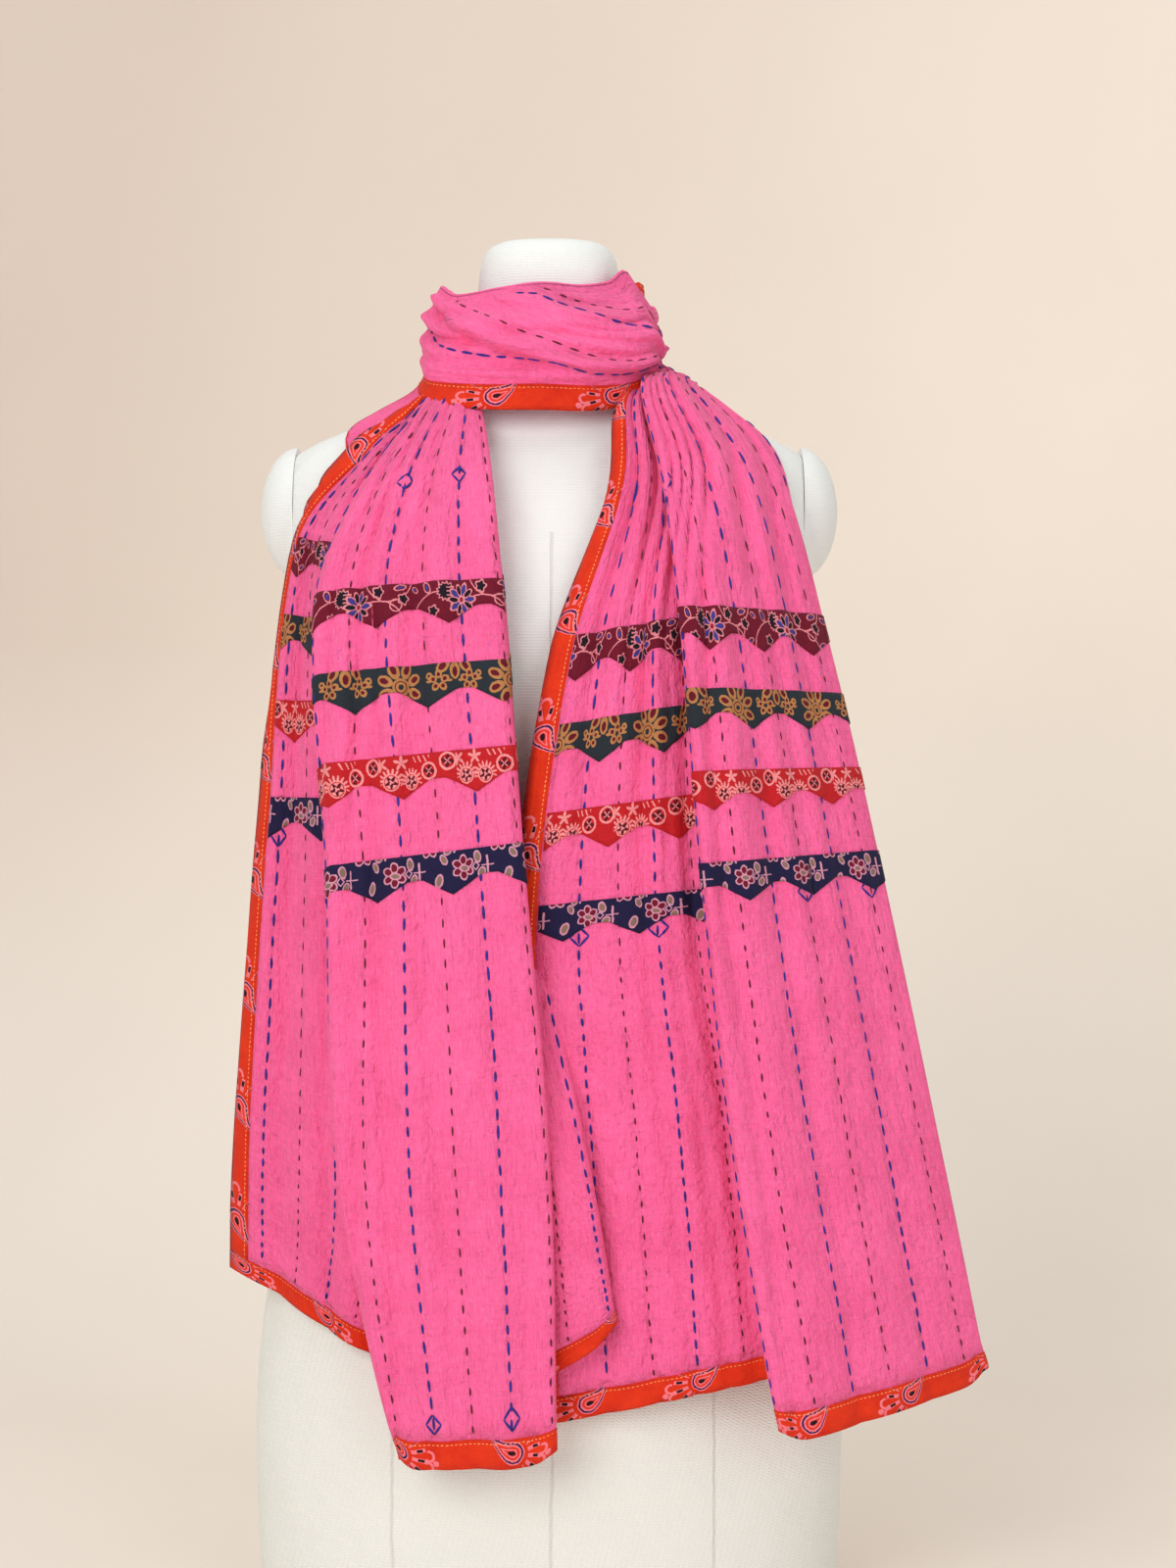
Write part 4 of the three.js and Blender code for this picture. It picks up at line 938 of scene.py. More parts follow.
def torso():
    """The padded torso: a ring shaped to each level section and drawn up to the next."""
    clear_selection()
    heights = sorted({row["z"] for row in FORM_SECTIONS} | FORM_RINGS)
    bpy.ops.mesh.primitive_circle_add(vertices=FORM_SIDES, radius=1)
    form = bpy.context.object
    form.name = "form_torso_jersey"
    bpy.ops.object.mode_set(mode="EDIT")
    for k in range(1, FORM_SIDES // 4):
        angle = 2 * math.pi * k / FORM_SIDES
        x, y = abs(math.sin(angle)), abs(math.cos(angle))
        power = (y ** SECTION_POWER + x ** SECTION_POWER) ** (-1 / SECTION_POWER)
        pick(form, lambda co: abs(abs(co.x) - x) < 1e-4 and abs(abs(co.y) - y) < 1e-4)
        bpy.ops.transform.resize(value=(power, power, 1), center_override=(0, 0, 0))
    bpy.ops.mesh.select_all(action="SELECT")
    now = {"half": 1, "front": 1, "back": 1}
    at = 0
    for k, z in enumerate(heights):
        section = {name: smooth_value(FORM_SECTIONS, "z", name, z) * MM for name in ("half", "front", "back")}
        if k:
            bpy.ops.mesh.extrude_region_move(TRANSFORM_OT_translate={"value": (0, 0, (z - at) * MM)})
        else:
            bpy.ops.transform.translate(value=(0, 0, z * MM))
        at = z
        bpy.ops.transform.resize(value=(section["half"] / now["half"], 1, 1), center_override=(0, 0, z * MM))
        for name, way in (("front", -1), ("back", 1)):
            pick(form, lambda co: co.y * way > 1e-6 and abs(co.z - z * MM) < 1e-5)
            bpy.ops.transform.resize(value=(1, section[name] / now[name], 1), center_override=(0, 0, z * MM))
        pick(form, lambda co: abs(co.z - z * MM) < 1e-5)
        now = section
    bpy.ops.mesh.edge_face_add()
    bpy.ops.mesh.inset(thickness=0.008)
    pick(form, lambda co: co.z < 1e-5)
    bpy.ops.mesh.edge_face_add()
    bpy.ops.mesh.inset(thickness=0.006)
    bpy.ops.mesh.select_all(action="SELECT")
    bpy.ops.mesh.normals_make_consistent(inside=False)
    bpy.ops.object.mode_set(mode="OBJECT")
    finish_with(form, "SUBSURF", levels=1, render_levels=1)
    only(form)
    bpy.ops.object.mode_set(mode="EDIT")
    for side in (1, -1):
        mesh = bmesh.from_edit_mesh(form.data)
        bpy.ops.mesh.select_all(action="DESELECT")
        for face in mesh.faces:
            face.select = face.calc_center_median().z > SHOULDER_CUT_ABOVE * MM
        bmesh.update_edit_mesh(form.data)
        cut = (side * SHOULDER_HALF * MM, 0, 0)
        bpy.ops.mesh.bisect(plane_co=cut, plane_no=(side, 0, 0), use_fill=True, clear_outer=True)
    bpy.ops.object.mode_set(mode="OBJECT")
    only(form)
    bpy.ops.object.shade_smooth_by_angle(angle=SMOOTH_UNDER)
    return form


def arm_cap(name, side):
    """A domed cap fitted to the flat cut at a shoulder."""
    clear_selection()
    bpy.ops.mesh.primitive_uv_sphere_add(segments=40, ring_count=20, radius=1)
    cap = bpy.context.object
    cap.name = name
    bpy.ops.object.mode_set(mode="EDIT")
    bpy.ops.transform.rotate(value=math.pi / 2, orient_axis="Y", center_override=(0, 0, 0))
    bpy.ops.mesh.bisect(plane_co=(0, 0, 0), plane_no=(-side, 0, 0), use_fill=True, clear_outer=True)
    bpy.ops.mesh.select_all(action="SELECT")
    bpy.ops.transform.resize(value=[half * MM for half in ARM_CAP_HALF], center_override=(0, 0, 0))
    bpy.ops.transform.translate(value=(side * (SHOULDER_HALF + ARM_CAP_GAP) * MM, 0, ARM_CAP_HEIGHT * MM))
    bpy.ops.mesh.normals_make_consistent(inside=False)
    bpy.ops.object.mode_set(mode="OBJECT")
    only(cap)
    bpy.ops.object.shade_smooth_by_angle(angle=SMOOTH_UNDER)
    return cap


# Finishes

class Number:
    """A number that a node tree works out. Sums of it add nodes."""

    def __init__(self, recipe, socket):
        self.recipe, self.socket = recipe, socket

    def math(self, operation, *others):
        return self.recipe.number(operation, self, *others)

    def __add__(self, other): return self.math("ADD", other)
    def __radd__(self, other): return self.recipe.number("ADD", other, self)
    def __sub__(self, other): return self.math("SUBTRACT", other)
    def __rsub__(self, other): return self.recipe.number("SUBTRACT", other, self)
    def __mul__(self, other): return self.math("MULTIPLY", other)
    def __rmul__(self, other): return self.recipe.number("MULTIPLY", other, self)
    def __truediv__(self, other): return self.math("DIVIDE", other)
    def __neg__(self): return self.math("MULTIPLY", -1)
    def __abs__(self): return self.math("ABSOLUTE")


class Recipe:
    """Lays out the nodes of one material or node group."""

    def __init__(self, tree):
        self.tree = tree
        self.count = 0

    def add(self, kind, inputs=(), **settings):
        """Adds a node with its settings, and feeds its inputs by number or by name."""
        node = self.tree.nodes.new(kind)
        node.location = (190 * (self.count // 9), -180 * (self.count % 9))
        self.count += 1
        for key, value in settings.items():
            setattr(node, key, value)
        pairs = inputs.items() if isinstance(inputs, dict) else enumerate(inputs)
        for slot, value in pairs:
            self.feed(node.inputs[slot], value)
        return node

    def feed(self, socket, value):
        """Links a node's output to a socket, or sets the socket to a plain value."""
        value = getattr(value, "socket", value)
        if isinstance(value, bpy.types.NodeSocket):
            self.tree.links.new(value, socket)
        else:
            socket.default_value = value

    def number(self, operation, *inputs):
        """A new number, worked out from others."""
        return Number(self, self.add("ShaderNodeMath", inputs, operation=operation).outputs[0])

    def cloth_place(self):
        """Across and along the cloth, in millimetres, from its own UV map."""
        place = self.add("ShaderNodeUVMap", uv_map="cloth").outputs[0]
        return self.add("ShaderNodeVectorMath", {0: place, "Scale": 1000.0}, operation="SCALE").outputs[0]

    def body_place(self):
        """The object's own place, in millimetres."""
        place = self.add("ShaderNodeTexCoord").outputs["Object"]
        return self.add("ShaderNodeVectorMath", {0: place, "Scale": 1000.0}, operation="SCALE").outputs[0]

    def parts(self, vector):
        """The three numbers of a vector."""
        split = self.add("ShaderNodeSeparateXYZ", (vector,))
        return [Number(self, out) for out in split.outputs]

    def vector(self, x=0.0, y=0.0, z=0.0):
        return self.add("ShaderNodeCombineXYZ", (x, y, z)).outputs[0]

    def noise(self, vector, scale, detail=2.0, rough=0.5):
        """Uneven values round a half."""
        settings = {"Vector": vector, "Scale": scale, "Detail": detail, "Roughness": rough}
        return Number(self, self.add("ShaderNodeTexNoise", settings).outputs[0])

    def streaks(self, place, x, y, detail, rough):
        """Noise drawn out across or along: the less x or y is, the longer that way."""
        return self.noise(self.stretched(place, x, y), 1.0, detail, rough)

    def stretched(self, vector, x, y, z=1.0):
        """A place with each of its axes multiplied."""
        return self.add("ShaderNodeVectorMath", {0: vector, 1: (x, y, z)}, operation="MULTIPLY").outputs[0]

    def moved(self, vector, x=0.0, y=0.0, z=0.0):
        """A place moved along its axes."""
        return self.add("ShaderNodeVectorMath", {0: vector, 1: self.vector(x, y, z)}, operation="ADD").outputs[0]

    def between(self, value, low, high, to_low=0.0, to_high=1.0):
        """A value from low to high, turned into one from to_low to to_high and held at the ends."""
        node = self.add("ShaderNodeMapRange", {0: value, 1: low, 2: high, 3: to_low, 4: to_high})
        return Number(self, node.outputs[0])

    def blend(self, share, a, b):
        """Colour a where share is nought, b where it is one."""
        node = self.add("ShaderNodeMix", data_type="RGBA")
        for slot, value in ((0, share), (6, a), (7, b)):
            self.feed(node.inputs[slot], value)
        return node.outputs[2]

    def shaded(self, colour, amount):
        """A colour made lighter or darker by an amount round one."""
        node = self.add("ShaderNodeVectorMath", {0: colour, "Scale": amount}, operation="SCALE")
        return node.outputs[0]

    def length(self, x, y):
        """How far a place is from nought."""
        node = self.add("ShaderNodeVectorMath", (self.vector(x, y),), operation="LENGTH")
        return Number(self, node.outputs["Value"])

    def below(self, value, limit):
        """One where a value is below a limit, else nought."""
        return self.number("LESS_THAN", value, limit)

    def above(self, value, limit):
        """One where a value is above a limit, else nought."""
        return self.number("GREATER_THAN", value, limit)

    def near(self, value, middle, half):
        """One where a value is no further than half from the middle."""
        return self.number("COMPARE", value, middle, half)

    def repeated(self, value, start, pitch):
        """A distance that starts again at every pitch, from minus half a pitch to half."""
        return self.number("WRAP", value - start, pitch / 2, -pitch / 2)

    def turned(self, x, y, degrees):
        """The same place on axes turned by an angle."""
        c, s = math.cos(math.radians(degrees)), math.sin(math.radians(degrees))
        return x * c + y * s, y * c - x * s

    def oval(self, x, y, place, half, degrees=0):
        """One on the edge of a turned oval, less inside."""
        x, y = self.turned(x - place[0], y - place[1], degrees)
        return self.length(x / half[0], y / half[1])

    def petals(self, x, y, place, count, reach, half, degrees=0):
        """One on the edge of each of a flower's petals, less inside."""
        x, y = x - place[0], y - place[1]
        step = 2 * math.pi / count
        angle = self.number("WRAP", self.number("ARCTAN2", y, x) - math.radians(degrees), step / 2, -step / 2)
        radius = self.length(x, y)
        px = radius * self.number("COSINE", angle) - reach
        py = radius * self.number("SINE", angle)
        return self.length(px / half[0], py / half[1])

    def lobed(self, x, y, place, radius, lobes, depth, degrees=0):
        """One on the edge of a round shape with lobes, less inside."""
        x, y = x - place[0], y - place[1]
        wave = self.number("COSINE", self.number("ARCTAN2", y, x) * lobes + math.radians(degrees))
        return self.length(x, y) / (wave * depth + radius)

    def painted(self, colour, layers):
        """Lays printed shapes over a ground colour, each a mask and its colour."""
        for mask, paint in layers:
            colour = self.blend(mask, colour, paint)
        return colour


def rgb(red, green, blue):
    """A colour as the eye reads it, 0 to 255, as the shader wants it."""
    def linear(value):
        value /= 255
        return value / 12.92 if value <= 0.04045 else ((value + 0.055) / 1.055) ** 2.4
    return (linear(red), linear(green), linear(blue), 1.0)


def node_group(name, inputs, outputs):
    """An empty node group with named inputs and outputs, and its recipe."""
    tree = bpy.data.node_groups.new(name, "ShaderNodeTree")
    kinds = {"vector": "NodeSocketVector", "number": "NodeSocketFloat", "colour": "NodeSocketColor"}
    for label, kind in inputs.items():
        tree.interface.new_socket(name=label, in_out="INPUT", socket_type=kinds[kind])
    for label, kind in outputs.items():
        tree.interface.new_socket(name=label, in_out="OUTPUT", socket_type=kinds[kind])
    recipe = Recipe(tree)
    start = tree.nodes.new("NodeGroupInput")
    end = tree.nodes.new("NodeGroupOutput")
    return tree, recipe, start.outputs, end.inputs


def use_group(recipe, tree, **inputs):
    """Puts a node group to use: its outputs by name."""
    node = recipe.add("ShaderNodeGroup", {}, node_tree=tree)
    for label, value in inputs.items():
        recipe.feed(node.inputs[label], value)
    return node.outputs


def weave_group():
    """Plain-woven cotton with uneven yarns: its height in millimetres and its light and dark."""
    tree, r, given, wanted = node_group("Cotton weave", {"Place": "vector"}, {"Height": "number", "Shade": "number"})
    place = given["Place"]
    warp = r.streaks(place, 1.7, 0.1, 3.0, 0.65)
    weft = r.streaks(place, 0.1, 1.7, 3.0, 0.65)
    grain = r.noise(place, 2.1, 2.0, 0.6)
    r.feed(wanted["Height"], (warp + weft) * 0.1 + grain * 0.06)
    r.feed(wanted["Shade"], (warp * 0.9 + weft * 1.1 + grain) / 3)
    return tree


def crumple_group():
    """Soft creases of washed cotton, longer down the cloth than across it: their height in millimetres."""
    tree, r, given, wanted = node_group("Washed creases", {"Place": "vector"}, {"Height": "number"})
    place = given["Place"]
    long = r.streaks(place, 0.09, 0.018, 3.0, 0.55)
    small = r.streaks(place, 0.17, 0.12, 2.0, 0.5)
    ridge = 1 - abs(small - 0.5) * 5
    fine = r.streaks(place, 0.5, 0.3, 2.0, 0.55)
    r.feed(wanted["Height"], long * 3.8 + small * 2.3 + fine * 0.9 + r.number("MAXIMUM", ridge, 0) * 0.3)
    return tree


COTTON_WEAVE = weave_group()
WASHED_CREASES = crumple_group()


def new_material(name):
    """A material with a plain shader, the recipe for its other nodes, and the shader."""
    material = bpy.data.materials.new(name)
    material.use_nodes = True
    tree = material.node_tree
    tree.nodes.clear()
    r = Recipe(tree)
    shader = r.add("ShaderNodeBsdfPrincipled")
    out = r.add("ShaderNodeOutputMaterial")
    tree.links.new(shader.outputs[0], out.inputs[0])
    return material, r, shader


def finish_cotton(r, shader, colour, height, rough, sheen):
    """Cotton's dull face, with its height in millimetres as a bump."""
    shader.inputs["Roughness"].default_value = rough
    shader.inputs["Sheen Weight"].default_value = sheen
    shader.inputs["Sheen Roughness"].default_value = 0.5
    shader.inputs["Specular IOR Level"].default_value = 0.25
    r.feed(shader.inputs["Base Color"], colour)
    bump = r.add("ShaderNodeBump", {"Strength": 1.0, "Distance": 0.001, "Height": height})
    r.feed(shader.inputs["Normal"], bump.outputs[0])


def pink_cotton():
    """Rose-pink cotton, two cloths quilted together.

    It is puckered along the lines of stitches and specked with blue there. Small diamonds are faintly drawn on it.
    """
    material, r, shader = new_material("Pink cotton")
    place = r.cloth_place()
    across, along, _ = r.parts(place)
    weave = use_group(r, COTTON_WEAVE, Place=place)
    creases = use_group(r, WASHED_CREASES, Place=place)
    shade = Number(r, weave["Shade"])
    dye = r.streaks(place, 0.02, 0.02, 3.0, 0.6)
    slub = r.streaks(place, 0.06, 0.9, 3.0, 0.7) * 0.7 + r.streaks(place, 0.9, 0.035, 3.0, 0.75) * 1.3
    tone = shade * 0.8 + slub * 0.5 + dye * 0.14 + 0.03
    line = abs(r.repeated(across, STITCH_START, STITCH_PITCH))
    beside = abs(r.repeated(across, STITCH_START + STITCH_PITCH, 2 * STITCH_PITCH))
    drawn = r.between(abs(beside * 0.85 + abs(along - DRAWN_AT) - DRAWN_HALF), 0.4, 1.3, 1.0, 0.0)
    colour = r.shaded(r.blend(r.between(dye, 0.3, 0.7), rgb(246, 93, 153), rgb(251, 103, 163)), tone)
    yarn = r.noise(r.moved(r.stretched(place, 1.3, 0.16), 7, 3), 1.0, 3.0, 0.75)
    colour = r.blend(r.between(yarn, 0.5, 0.72) * 0.4, colour, rgb(255, 156, 194))
    speck = r.streaks(place, 0.55, 0.4, 2.0, 0.7)
    near_line = r.between(line, 0.5, 2.6, 1.0, 0.0)
    marked = r.between(speck * near_line, 0.56, 0.66)
    colour = r.blend(marked * 0.45, colour, rgb(120, 84, 168))
    colour = r.blend(r.between(speck * drawn, 0.47, 0.56) * 0.55, colour, rgb(128, 88, 184))
    far_speck = r.noise(r.moved(r.stretched(place, 0.3, 0.3), 40, 11), 1.0, 3.0, 0.75)
    near_far = r.between(line, 2, 7, 1.0, 0.0)
    colour = r.blend(r.between(far_speck * near_far, 0.68, 0.72) * 0.3, colour, rgb(150, 60, 120))
    pucker = r.number("SINE", along * (2 * math.pi / PUCKER_PITCH) + dye * 5) * r.between(line, 0, 7, 0.26, 0.0)
    groove = r.between(line, 0, 3, -0.5, 0.0)
    height = Number(r, weave["Height"]) + Number(r, creases["Height"]) + pucker + groove
    finish_cotton(r, shader, colour, height, 0.9, 0.1)
    return material


def paisley_group():
    """A pale tuft over a drop that curls to a tail, across a binding and repeated along it."""
    tree, r, given, wanted = node_group("Paisley print", {"Place": "vector"}, {"Colour": "colour"})
    across, along, _ = r.parts(given["Place"])
    a, b = r.turned(-r.repeated(along, 0, PAISLEY_PITCH), across - 10, 14)
    tail = r.number("MAXIMUM", a, 0)
    side = b - tail * tail * 0.04
    reach = r.length(r.number("MINIMUM", a, 0), side)
    drop = reach - (1 - r.number("POWER", tail / 17, 1.3)) * 7.6
    navy, pink, red, black = rgb(44, 26, 84), rgb(246, 124, 138), rgb(226, 54, 34), rgb(22, 12, 26)
    back = a + 1
    radius = r.length(back, b)
    fan = r.number("ARCTAN2", b, -back)
    stroke = radius * abs(r.number("SINE", r.repeated(fan, 0, 0.44)))
    in_fan = r.below(abs(fan), 0.84)
    curls = abs(r.length(a + 20, abs(b) - 3.8) - 3.2)
    layers = [
        (in_fan * r.below(stroke, 1.3) * r.near(radius, 13.6, 4.4), pink),
        (in_fan * r.below(stroke, 0.95) * r.near(radius, 14.6, 1.9), black),
        (r.below(curls, 0.85) * r.below(a, -18.5), pink),
        (r.below(r.length(a + 25, b), 2), pink),
        (r.below(drop, 0), pink), (r.below(drop, -0.8), navy), (r.below(drop, -2), pink), (r.below(drop, -3.2), red),
        (r.below(drop, -4.8), pink), (r.below(drop, -5.6), red),
        (r.below(r.oval(a, b, (0.6, 0), (2.4, 1.4)), 1), black),
    ]
    patches = r.streaks(given["Place"], 0.05, 0.05, 3.0, 0.6)
    ground = r.blend(r.between(patches, 0.35, 0.65), rgb(214, 42, 14), rgb(228, 54, 16))
    thread = r.near(across, 16.4, 0.35) * r.above(r.number("SINE", along * 2.2), -0.1)
    r.feed(wanted["Colour"], r.painted(r.painted(ground, layers), [(thread, rgb(250, 150, 96))]))
    return tree


def maroon_group():
    """Buds, leaves and flowers of blue and black petals, outlined in pink, on vines."""
    tree, r, given, wanted = node_group("Maroon print", {"Place": "vector"}, {"Colour": "colour"})
    x, y, _ = r.parts(given["Place"])
    x = r.repeated(x, 38, 78)
    pink, blue, black, ground = rgb(226, 134, 146), rgb(62, 56, 136), rgb(24, 14, 28), rgb(108, 10, 38)
    vines = [((-16, 6), 17), ((22, -26), 19), ((-24, -30), 20), ((34, 2), 12)]
    layers = [(r.near(r.length(x - cx, y - cy), radius, 0.42), pink) for (cx, cy), radius in vines]
    leaves = [
        ((14, -4), (2.4, 4.2), 25), ((-8, -2.4), (4.6, 2), 10), ((4, -4), (3.2, 1.8), -30),
        ((-34, -15), (4.4, 2.2), 40), ((33, -17), (4, 2), -35), ((-2, -20), (4, 1.9), 20),
    ]
    for centre, half, degrees in leaves:
        leaf = r.oval(x, y, centre, half, degrees)
        layers += [(r.below(leaf, 1.0), pink), (r.below(leaf, 0.72), ground), (r.below(leaf, 0.46), blue)]
    for centre, radius in (((-6, -9.5), 2.7), ((-24, -4.5), 3), ((18, -19), 2.6)):
        bud = r.lobed(x, y, centre, radius, 5, 0.5)
        layers += [(r.below(bud, 1.36), pink), (r.below(bud, 1), black)]
    layers.append((r.near(r.length(x + 11, y + 13.5), 3.8, 0.42), pink))
    teeth = r.lobed(x, y, (27, -7), 4.9, 13, 0.55)
    fingers = r.below(abs(r.repeated(y, -7, 2.5)), 0.42) * r.above(x, 27.5)
    layers += [(r.below(teeth, 1.2), pink), (r.below(teeth, 1), black), (fingers * r.below(teeth, 1), pink)]
    for degrees, paint, half in ((0, blue, (4, 1.9)), (36, black, (3.4, 1.6))):
        for centre in ((38.5, -12.5), (-39.5, -12.5)):
            petal = r.petals(x, y, centre, 5, 6.2, half, degrees)
            layers += [(r.below(petal, 1.28), pink), (r.below(petal, 0.92), paint)]
    for centre in ((38.5, -12.5), (-39.5, -12.5)):
        eye = r.length(x - centre[0], y - centre[1])
        layers += [(r.below(eye, 2.5), pink), (r.below(eye, 1.5), rgb(150, 26, 40))]
    r.feed(wanted["Colour"], r.painted(ground, layers))
    return tree


def slate_group():
    """Ochre daisies with maroon hearts to their petals, and small five-petalled flowers."""
    tree, r, given, wanted = node_group("Slate print", {"Place": "vector"}, {"Colour": "colour"})
    x, y, _ = r.parts(given["Place"])
    daisy_x = r.repeated(x, 22, 80)
    other_x = r.repeated(x, 62, 80)
    small_x = abs(daisy_x)
    ochre, maroon, ground = rgb(182, 124, 76), rgb(98, 14, 32), rgb(36, 44, 52)
    layers = []
    for px, centre, degrees in ((daisy_x, (0, -13), 22), (other_x, (0, 6), 0)):
        petal = r.petals(px, y, centre, 8, 11, (5.4, 3.5), degrees)
        heart = r.petals(px, y, centre, 8, 11.6, (3.1, 1.8), degrees)
        eye = r.length(px, y - centre[1])
        layers += [
            (r.below(petal, 1), ochre), (r.below(heart, 1), maroon), (r.below(eye, 5.6), ochre),
            (r.near(eye, 3.7, 0.35), maroon), (r.below(eye, 1.7), ground),
        ]
    flower = r.petals(small_x, y, (29, -11), 5, 4.3, (2.9, 2.3), 90)
    dots = r.petals(small_x, y, (29, -11), 5, 4.1, (1.3, 1.2), 90)
    points = r.petals(small_x, y, (29, -11), 2, 6.6, (2.3, 0.9), 0)
    curl = r.length(small_x - 22.5, y + 7.6)
    layers += [
        (r.below(points, 1), ochre), (r.near(curl, 1.6, 0.7), ochre), (r.below(flower, 1), ochre),
        (r.below(dots, 1), maroon), (r.below(r.length(small_x - 29, y + 11), 0.8), ground),
    ]
    r.feed(wanted["Colour"], r.painted(ground, layers))
    return tree


def red_group():
    """Pink rings, crowned tulips and small star flowers on red."""
    tree, r, given, wanted = node_group("Red print", {"Place": "vector"}, {"Colour": "colour"})
    x, y, _ = r.parts(given["Place"])
    x = r.repeated(x, 1, 54)
    pink, dark, ground = rgb(240, 146, 150), rgb(92, 10, 30), rgb(192, 26, 34)
    layers = []
    for centre in ((-20, -16), (-6, -16.5)):
        crown = r.petals(x, y, centre, 16, 6.6, (2, 0.75), 11)
        cup = r.oval(x, y, centre, (5.4, 5.4))
        star = r.lobed(x, y, centre, 3, 5, 1.1, 90)
        layers += [
            (r.below(crown, 1) * r.above(y - centre[1] + abs(x - centre[0]) * 0.5, 2), pink), (r.below(cup, 1), pink),
            (r.near(cup, 0.78, 0.05), ground), (r.below(star, 1), dark),
            (r.below(r.lobed(x, y, centre, 1.1, 3, 0.5), 1), pink),
        ]
    for centre in ((8, -11), (21.5, -6)):
        circle = r.length(x - centre[0], y - centre[1])
        star = r.lobed(x, y, centre, 3.2, 4, 1, 45)
        veins = r.petals(x, y, centre, 4, 1.6, (1.5, 0.35), 45)
        layers += [(r.near(circle, 5, 0.75), pink), (r.below(star, 1), dark), (r.below(veins, 1), pink)]
    for centre, degrees in (((-13, -4.5), 18), ((-26, -5), 40), ((4, -24), 18)):
        layers.append((r.below(r.petals(x, y, centre, 5, 2.6, (2.4, 0.95), degrees), 1), pink))
    strokes = abs(r.repeated(x + y * 0.5, 0, 4)) - 0.6
    layers.append((r.below(strokes, 0) * r.below(abs(y + 3), 2) * r.near(x, 2, 7), pink))
    r.feed(wanted["Colour"], r.painted(ground, layers))
    return tree


def indigo_group():
    """Clusters of maroon petals with tan leaves and crossed stems, outlined in pale pink."""
    tree, r, given, wanted = node_group("Indigo print", {"Place": "vector"}, {"Colour": "colour"})
    x, y, _ = r.parts(given["Place"])
    first = r.repeated(x, 4, 49)
    second = r.repeated(x, 30, 49)
    pink, maroon, tan, ground = rgb(212, 146, 172), rgb(112, 14, 42), rgb(136, 110, 96), rgb(26, 22, 62)
    layers = []
    for px, centre, flower_turn in ((first, (0, -11), 30), (second, (0, 4.5), 0)):
        cx, cy = centre
        petal = r.petals(px, y, centre, 6, 4.6, (2.9, 2.2), flower_turn)
        layers += [(r.below(petal, 1.22), pink), (r.below(petal, 0.84), maroon)]
        heart = r.oval(px, y, (cx + 0.6, cy - 0.6), (3, 1.7), -10)
        layers += [(r.below(heart, 1.25), pink), (r.below(heart, 0.8), tan)]
        for place, half, degrees in (((cx + 10.5, cy + 5.6), (2.4, 3.5), 12), ((cx + 13, cy - 4), (2.3, 2.9), -40)):
            leaf = r.oval(px, y, place, half, degrees)
            layers += [(r.below(leaf, 1.16), pink), (r.below(leaf, 0.8), tan)]
        stem_x, stem_y = px - (cx + 17.5), y - cy
        layers.append((r.below(abs(stem_x), 0.75) * r.below(abs(stem_y), 6), pink))
        layers.append((r.below(abs(stem_y), 0.4) * r.below(abs(stem_x), 4.6), pink))
        layers.append((r.near(abs(px - (cx + 9)) + abs(stem_y), 2.4, 0.55), pink))
    for place, half, degrees in (((-17, -18), (2.5, 4), -20), ((-13, -5), (2, 3.2), 30)):
        leaf = r.oval(first, y, place, half, degrees)
        layers += [(r.below(leaf, 1.18), pink), (r.below(leaf, 0.8), tan)]
    r.feed(wanted["Colour"], r.painted(ground, layers))
    return tree


def printed_cotton(name, tree):
    """Cotton printed by a node group, its print a little worn."""
    material, r, shader = new_material(name)
    place = r.cloth_place()
    weave = use_group(r, COTTON_WEAVE, Place=place)
    creases = use_group(r, WASHED_CREASES, Place=place)
    drift_x = r.noise(r.stretched(place, 0.4, 0.4), 1.0) - 0.5
    drift_y = r.noise(r.moved(r.stretched(place, 0.4, 0.4), 31, 7), 1.0) - 0.5
    print_ = use_group(r, tree, Place=r.moved(place, drift_x * 1.1, drift_y * 1.1))
    colour = r.shaded(print_["Colour"], Number(r, weave["Shade"]) * 0.7 + 0.65)
    height = Number(r, weave["Height"]) + Number(r, creases["Height"]) * 0.6
    finish_cotton(r, shader, colour, height, 0.84, 0.04)
    return material


def thread_material(name, light, dark):
    """Soft twisted thread."""
    material, r, shader = new_material(name)
    x, y, z = r.parts(r.body_place())
    ply = r.number("SINE", (x + y + z * 1.6) * 7)
    worn = r.noise(r.body_place(), 0.35, 2.0, 0.6)
    colour = r.blend(r.between(worn + ply * 0.1, 0.35, 0.65), dark, light)
    finish_cotton(r, shader, colour, ply * 0.12, 0.75, 0.1)
    return material


def white_jersey():
    """Off-white knitted cotton pulled over the form, twilled below, seamed down its front and back. Above the waist
    it is painted a little bluer, to offset the pink light the stole throws on it.
    """
    material, r, shader = new_material("White jersey")
    place = r.body_place()
    x, _, z = r.parts(place)
    soft = r.noise(r.stretched(place, 0.02, 0.02, 0.02), 1.0, 3.0, 0.6)
    course = r.number("SINE", z * (2 * math.pi / 1.9) + soft * 4)
    wale = r.number("SINE", (x + soft * 3) * (2 * math.pi / 1.5))
    grain = r.noise(place, 1.2, 2.0, 0.6)
    seams = 0
    for at in (5, -96, 108):
        seams = r.between(abs(x - at + soft * 4), 0.3, 1.4, 1.0, 0.0) * r.below(z, 700) + seams
    tone = course * 0.012 + grain * 0.05 + soft * 0.05 + 0.95
    twill = r.number("SINE", (z + x * 0.6) * (2 * math.pi / 2.2))
    # Painted light: above the waist the jersey turns a little bluer, to offset the pink light bounced from the stole
    colour = r.shaded(r.blend(r.between(z, 540, 640), rgb(240, 243, 238), rgb(240, 244, 243)), tone)
    colour = r.blend(seams * 0.3, colour, rgb(196, 190, 180))
    knit = course * 0.07 + wale * 0.03 + twill * r.between(z, 420, 500, 0.08, 0.0)
    height = knit + grain * 0.08 - seams * 0.5 + soft * 3
    finish_cotton(r, shader, colour, height, 0.92, 0.05)
    return material


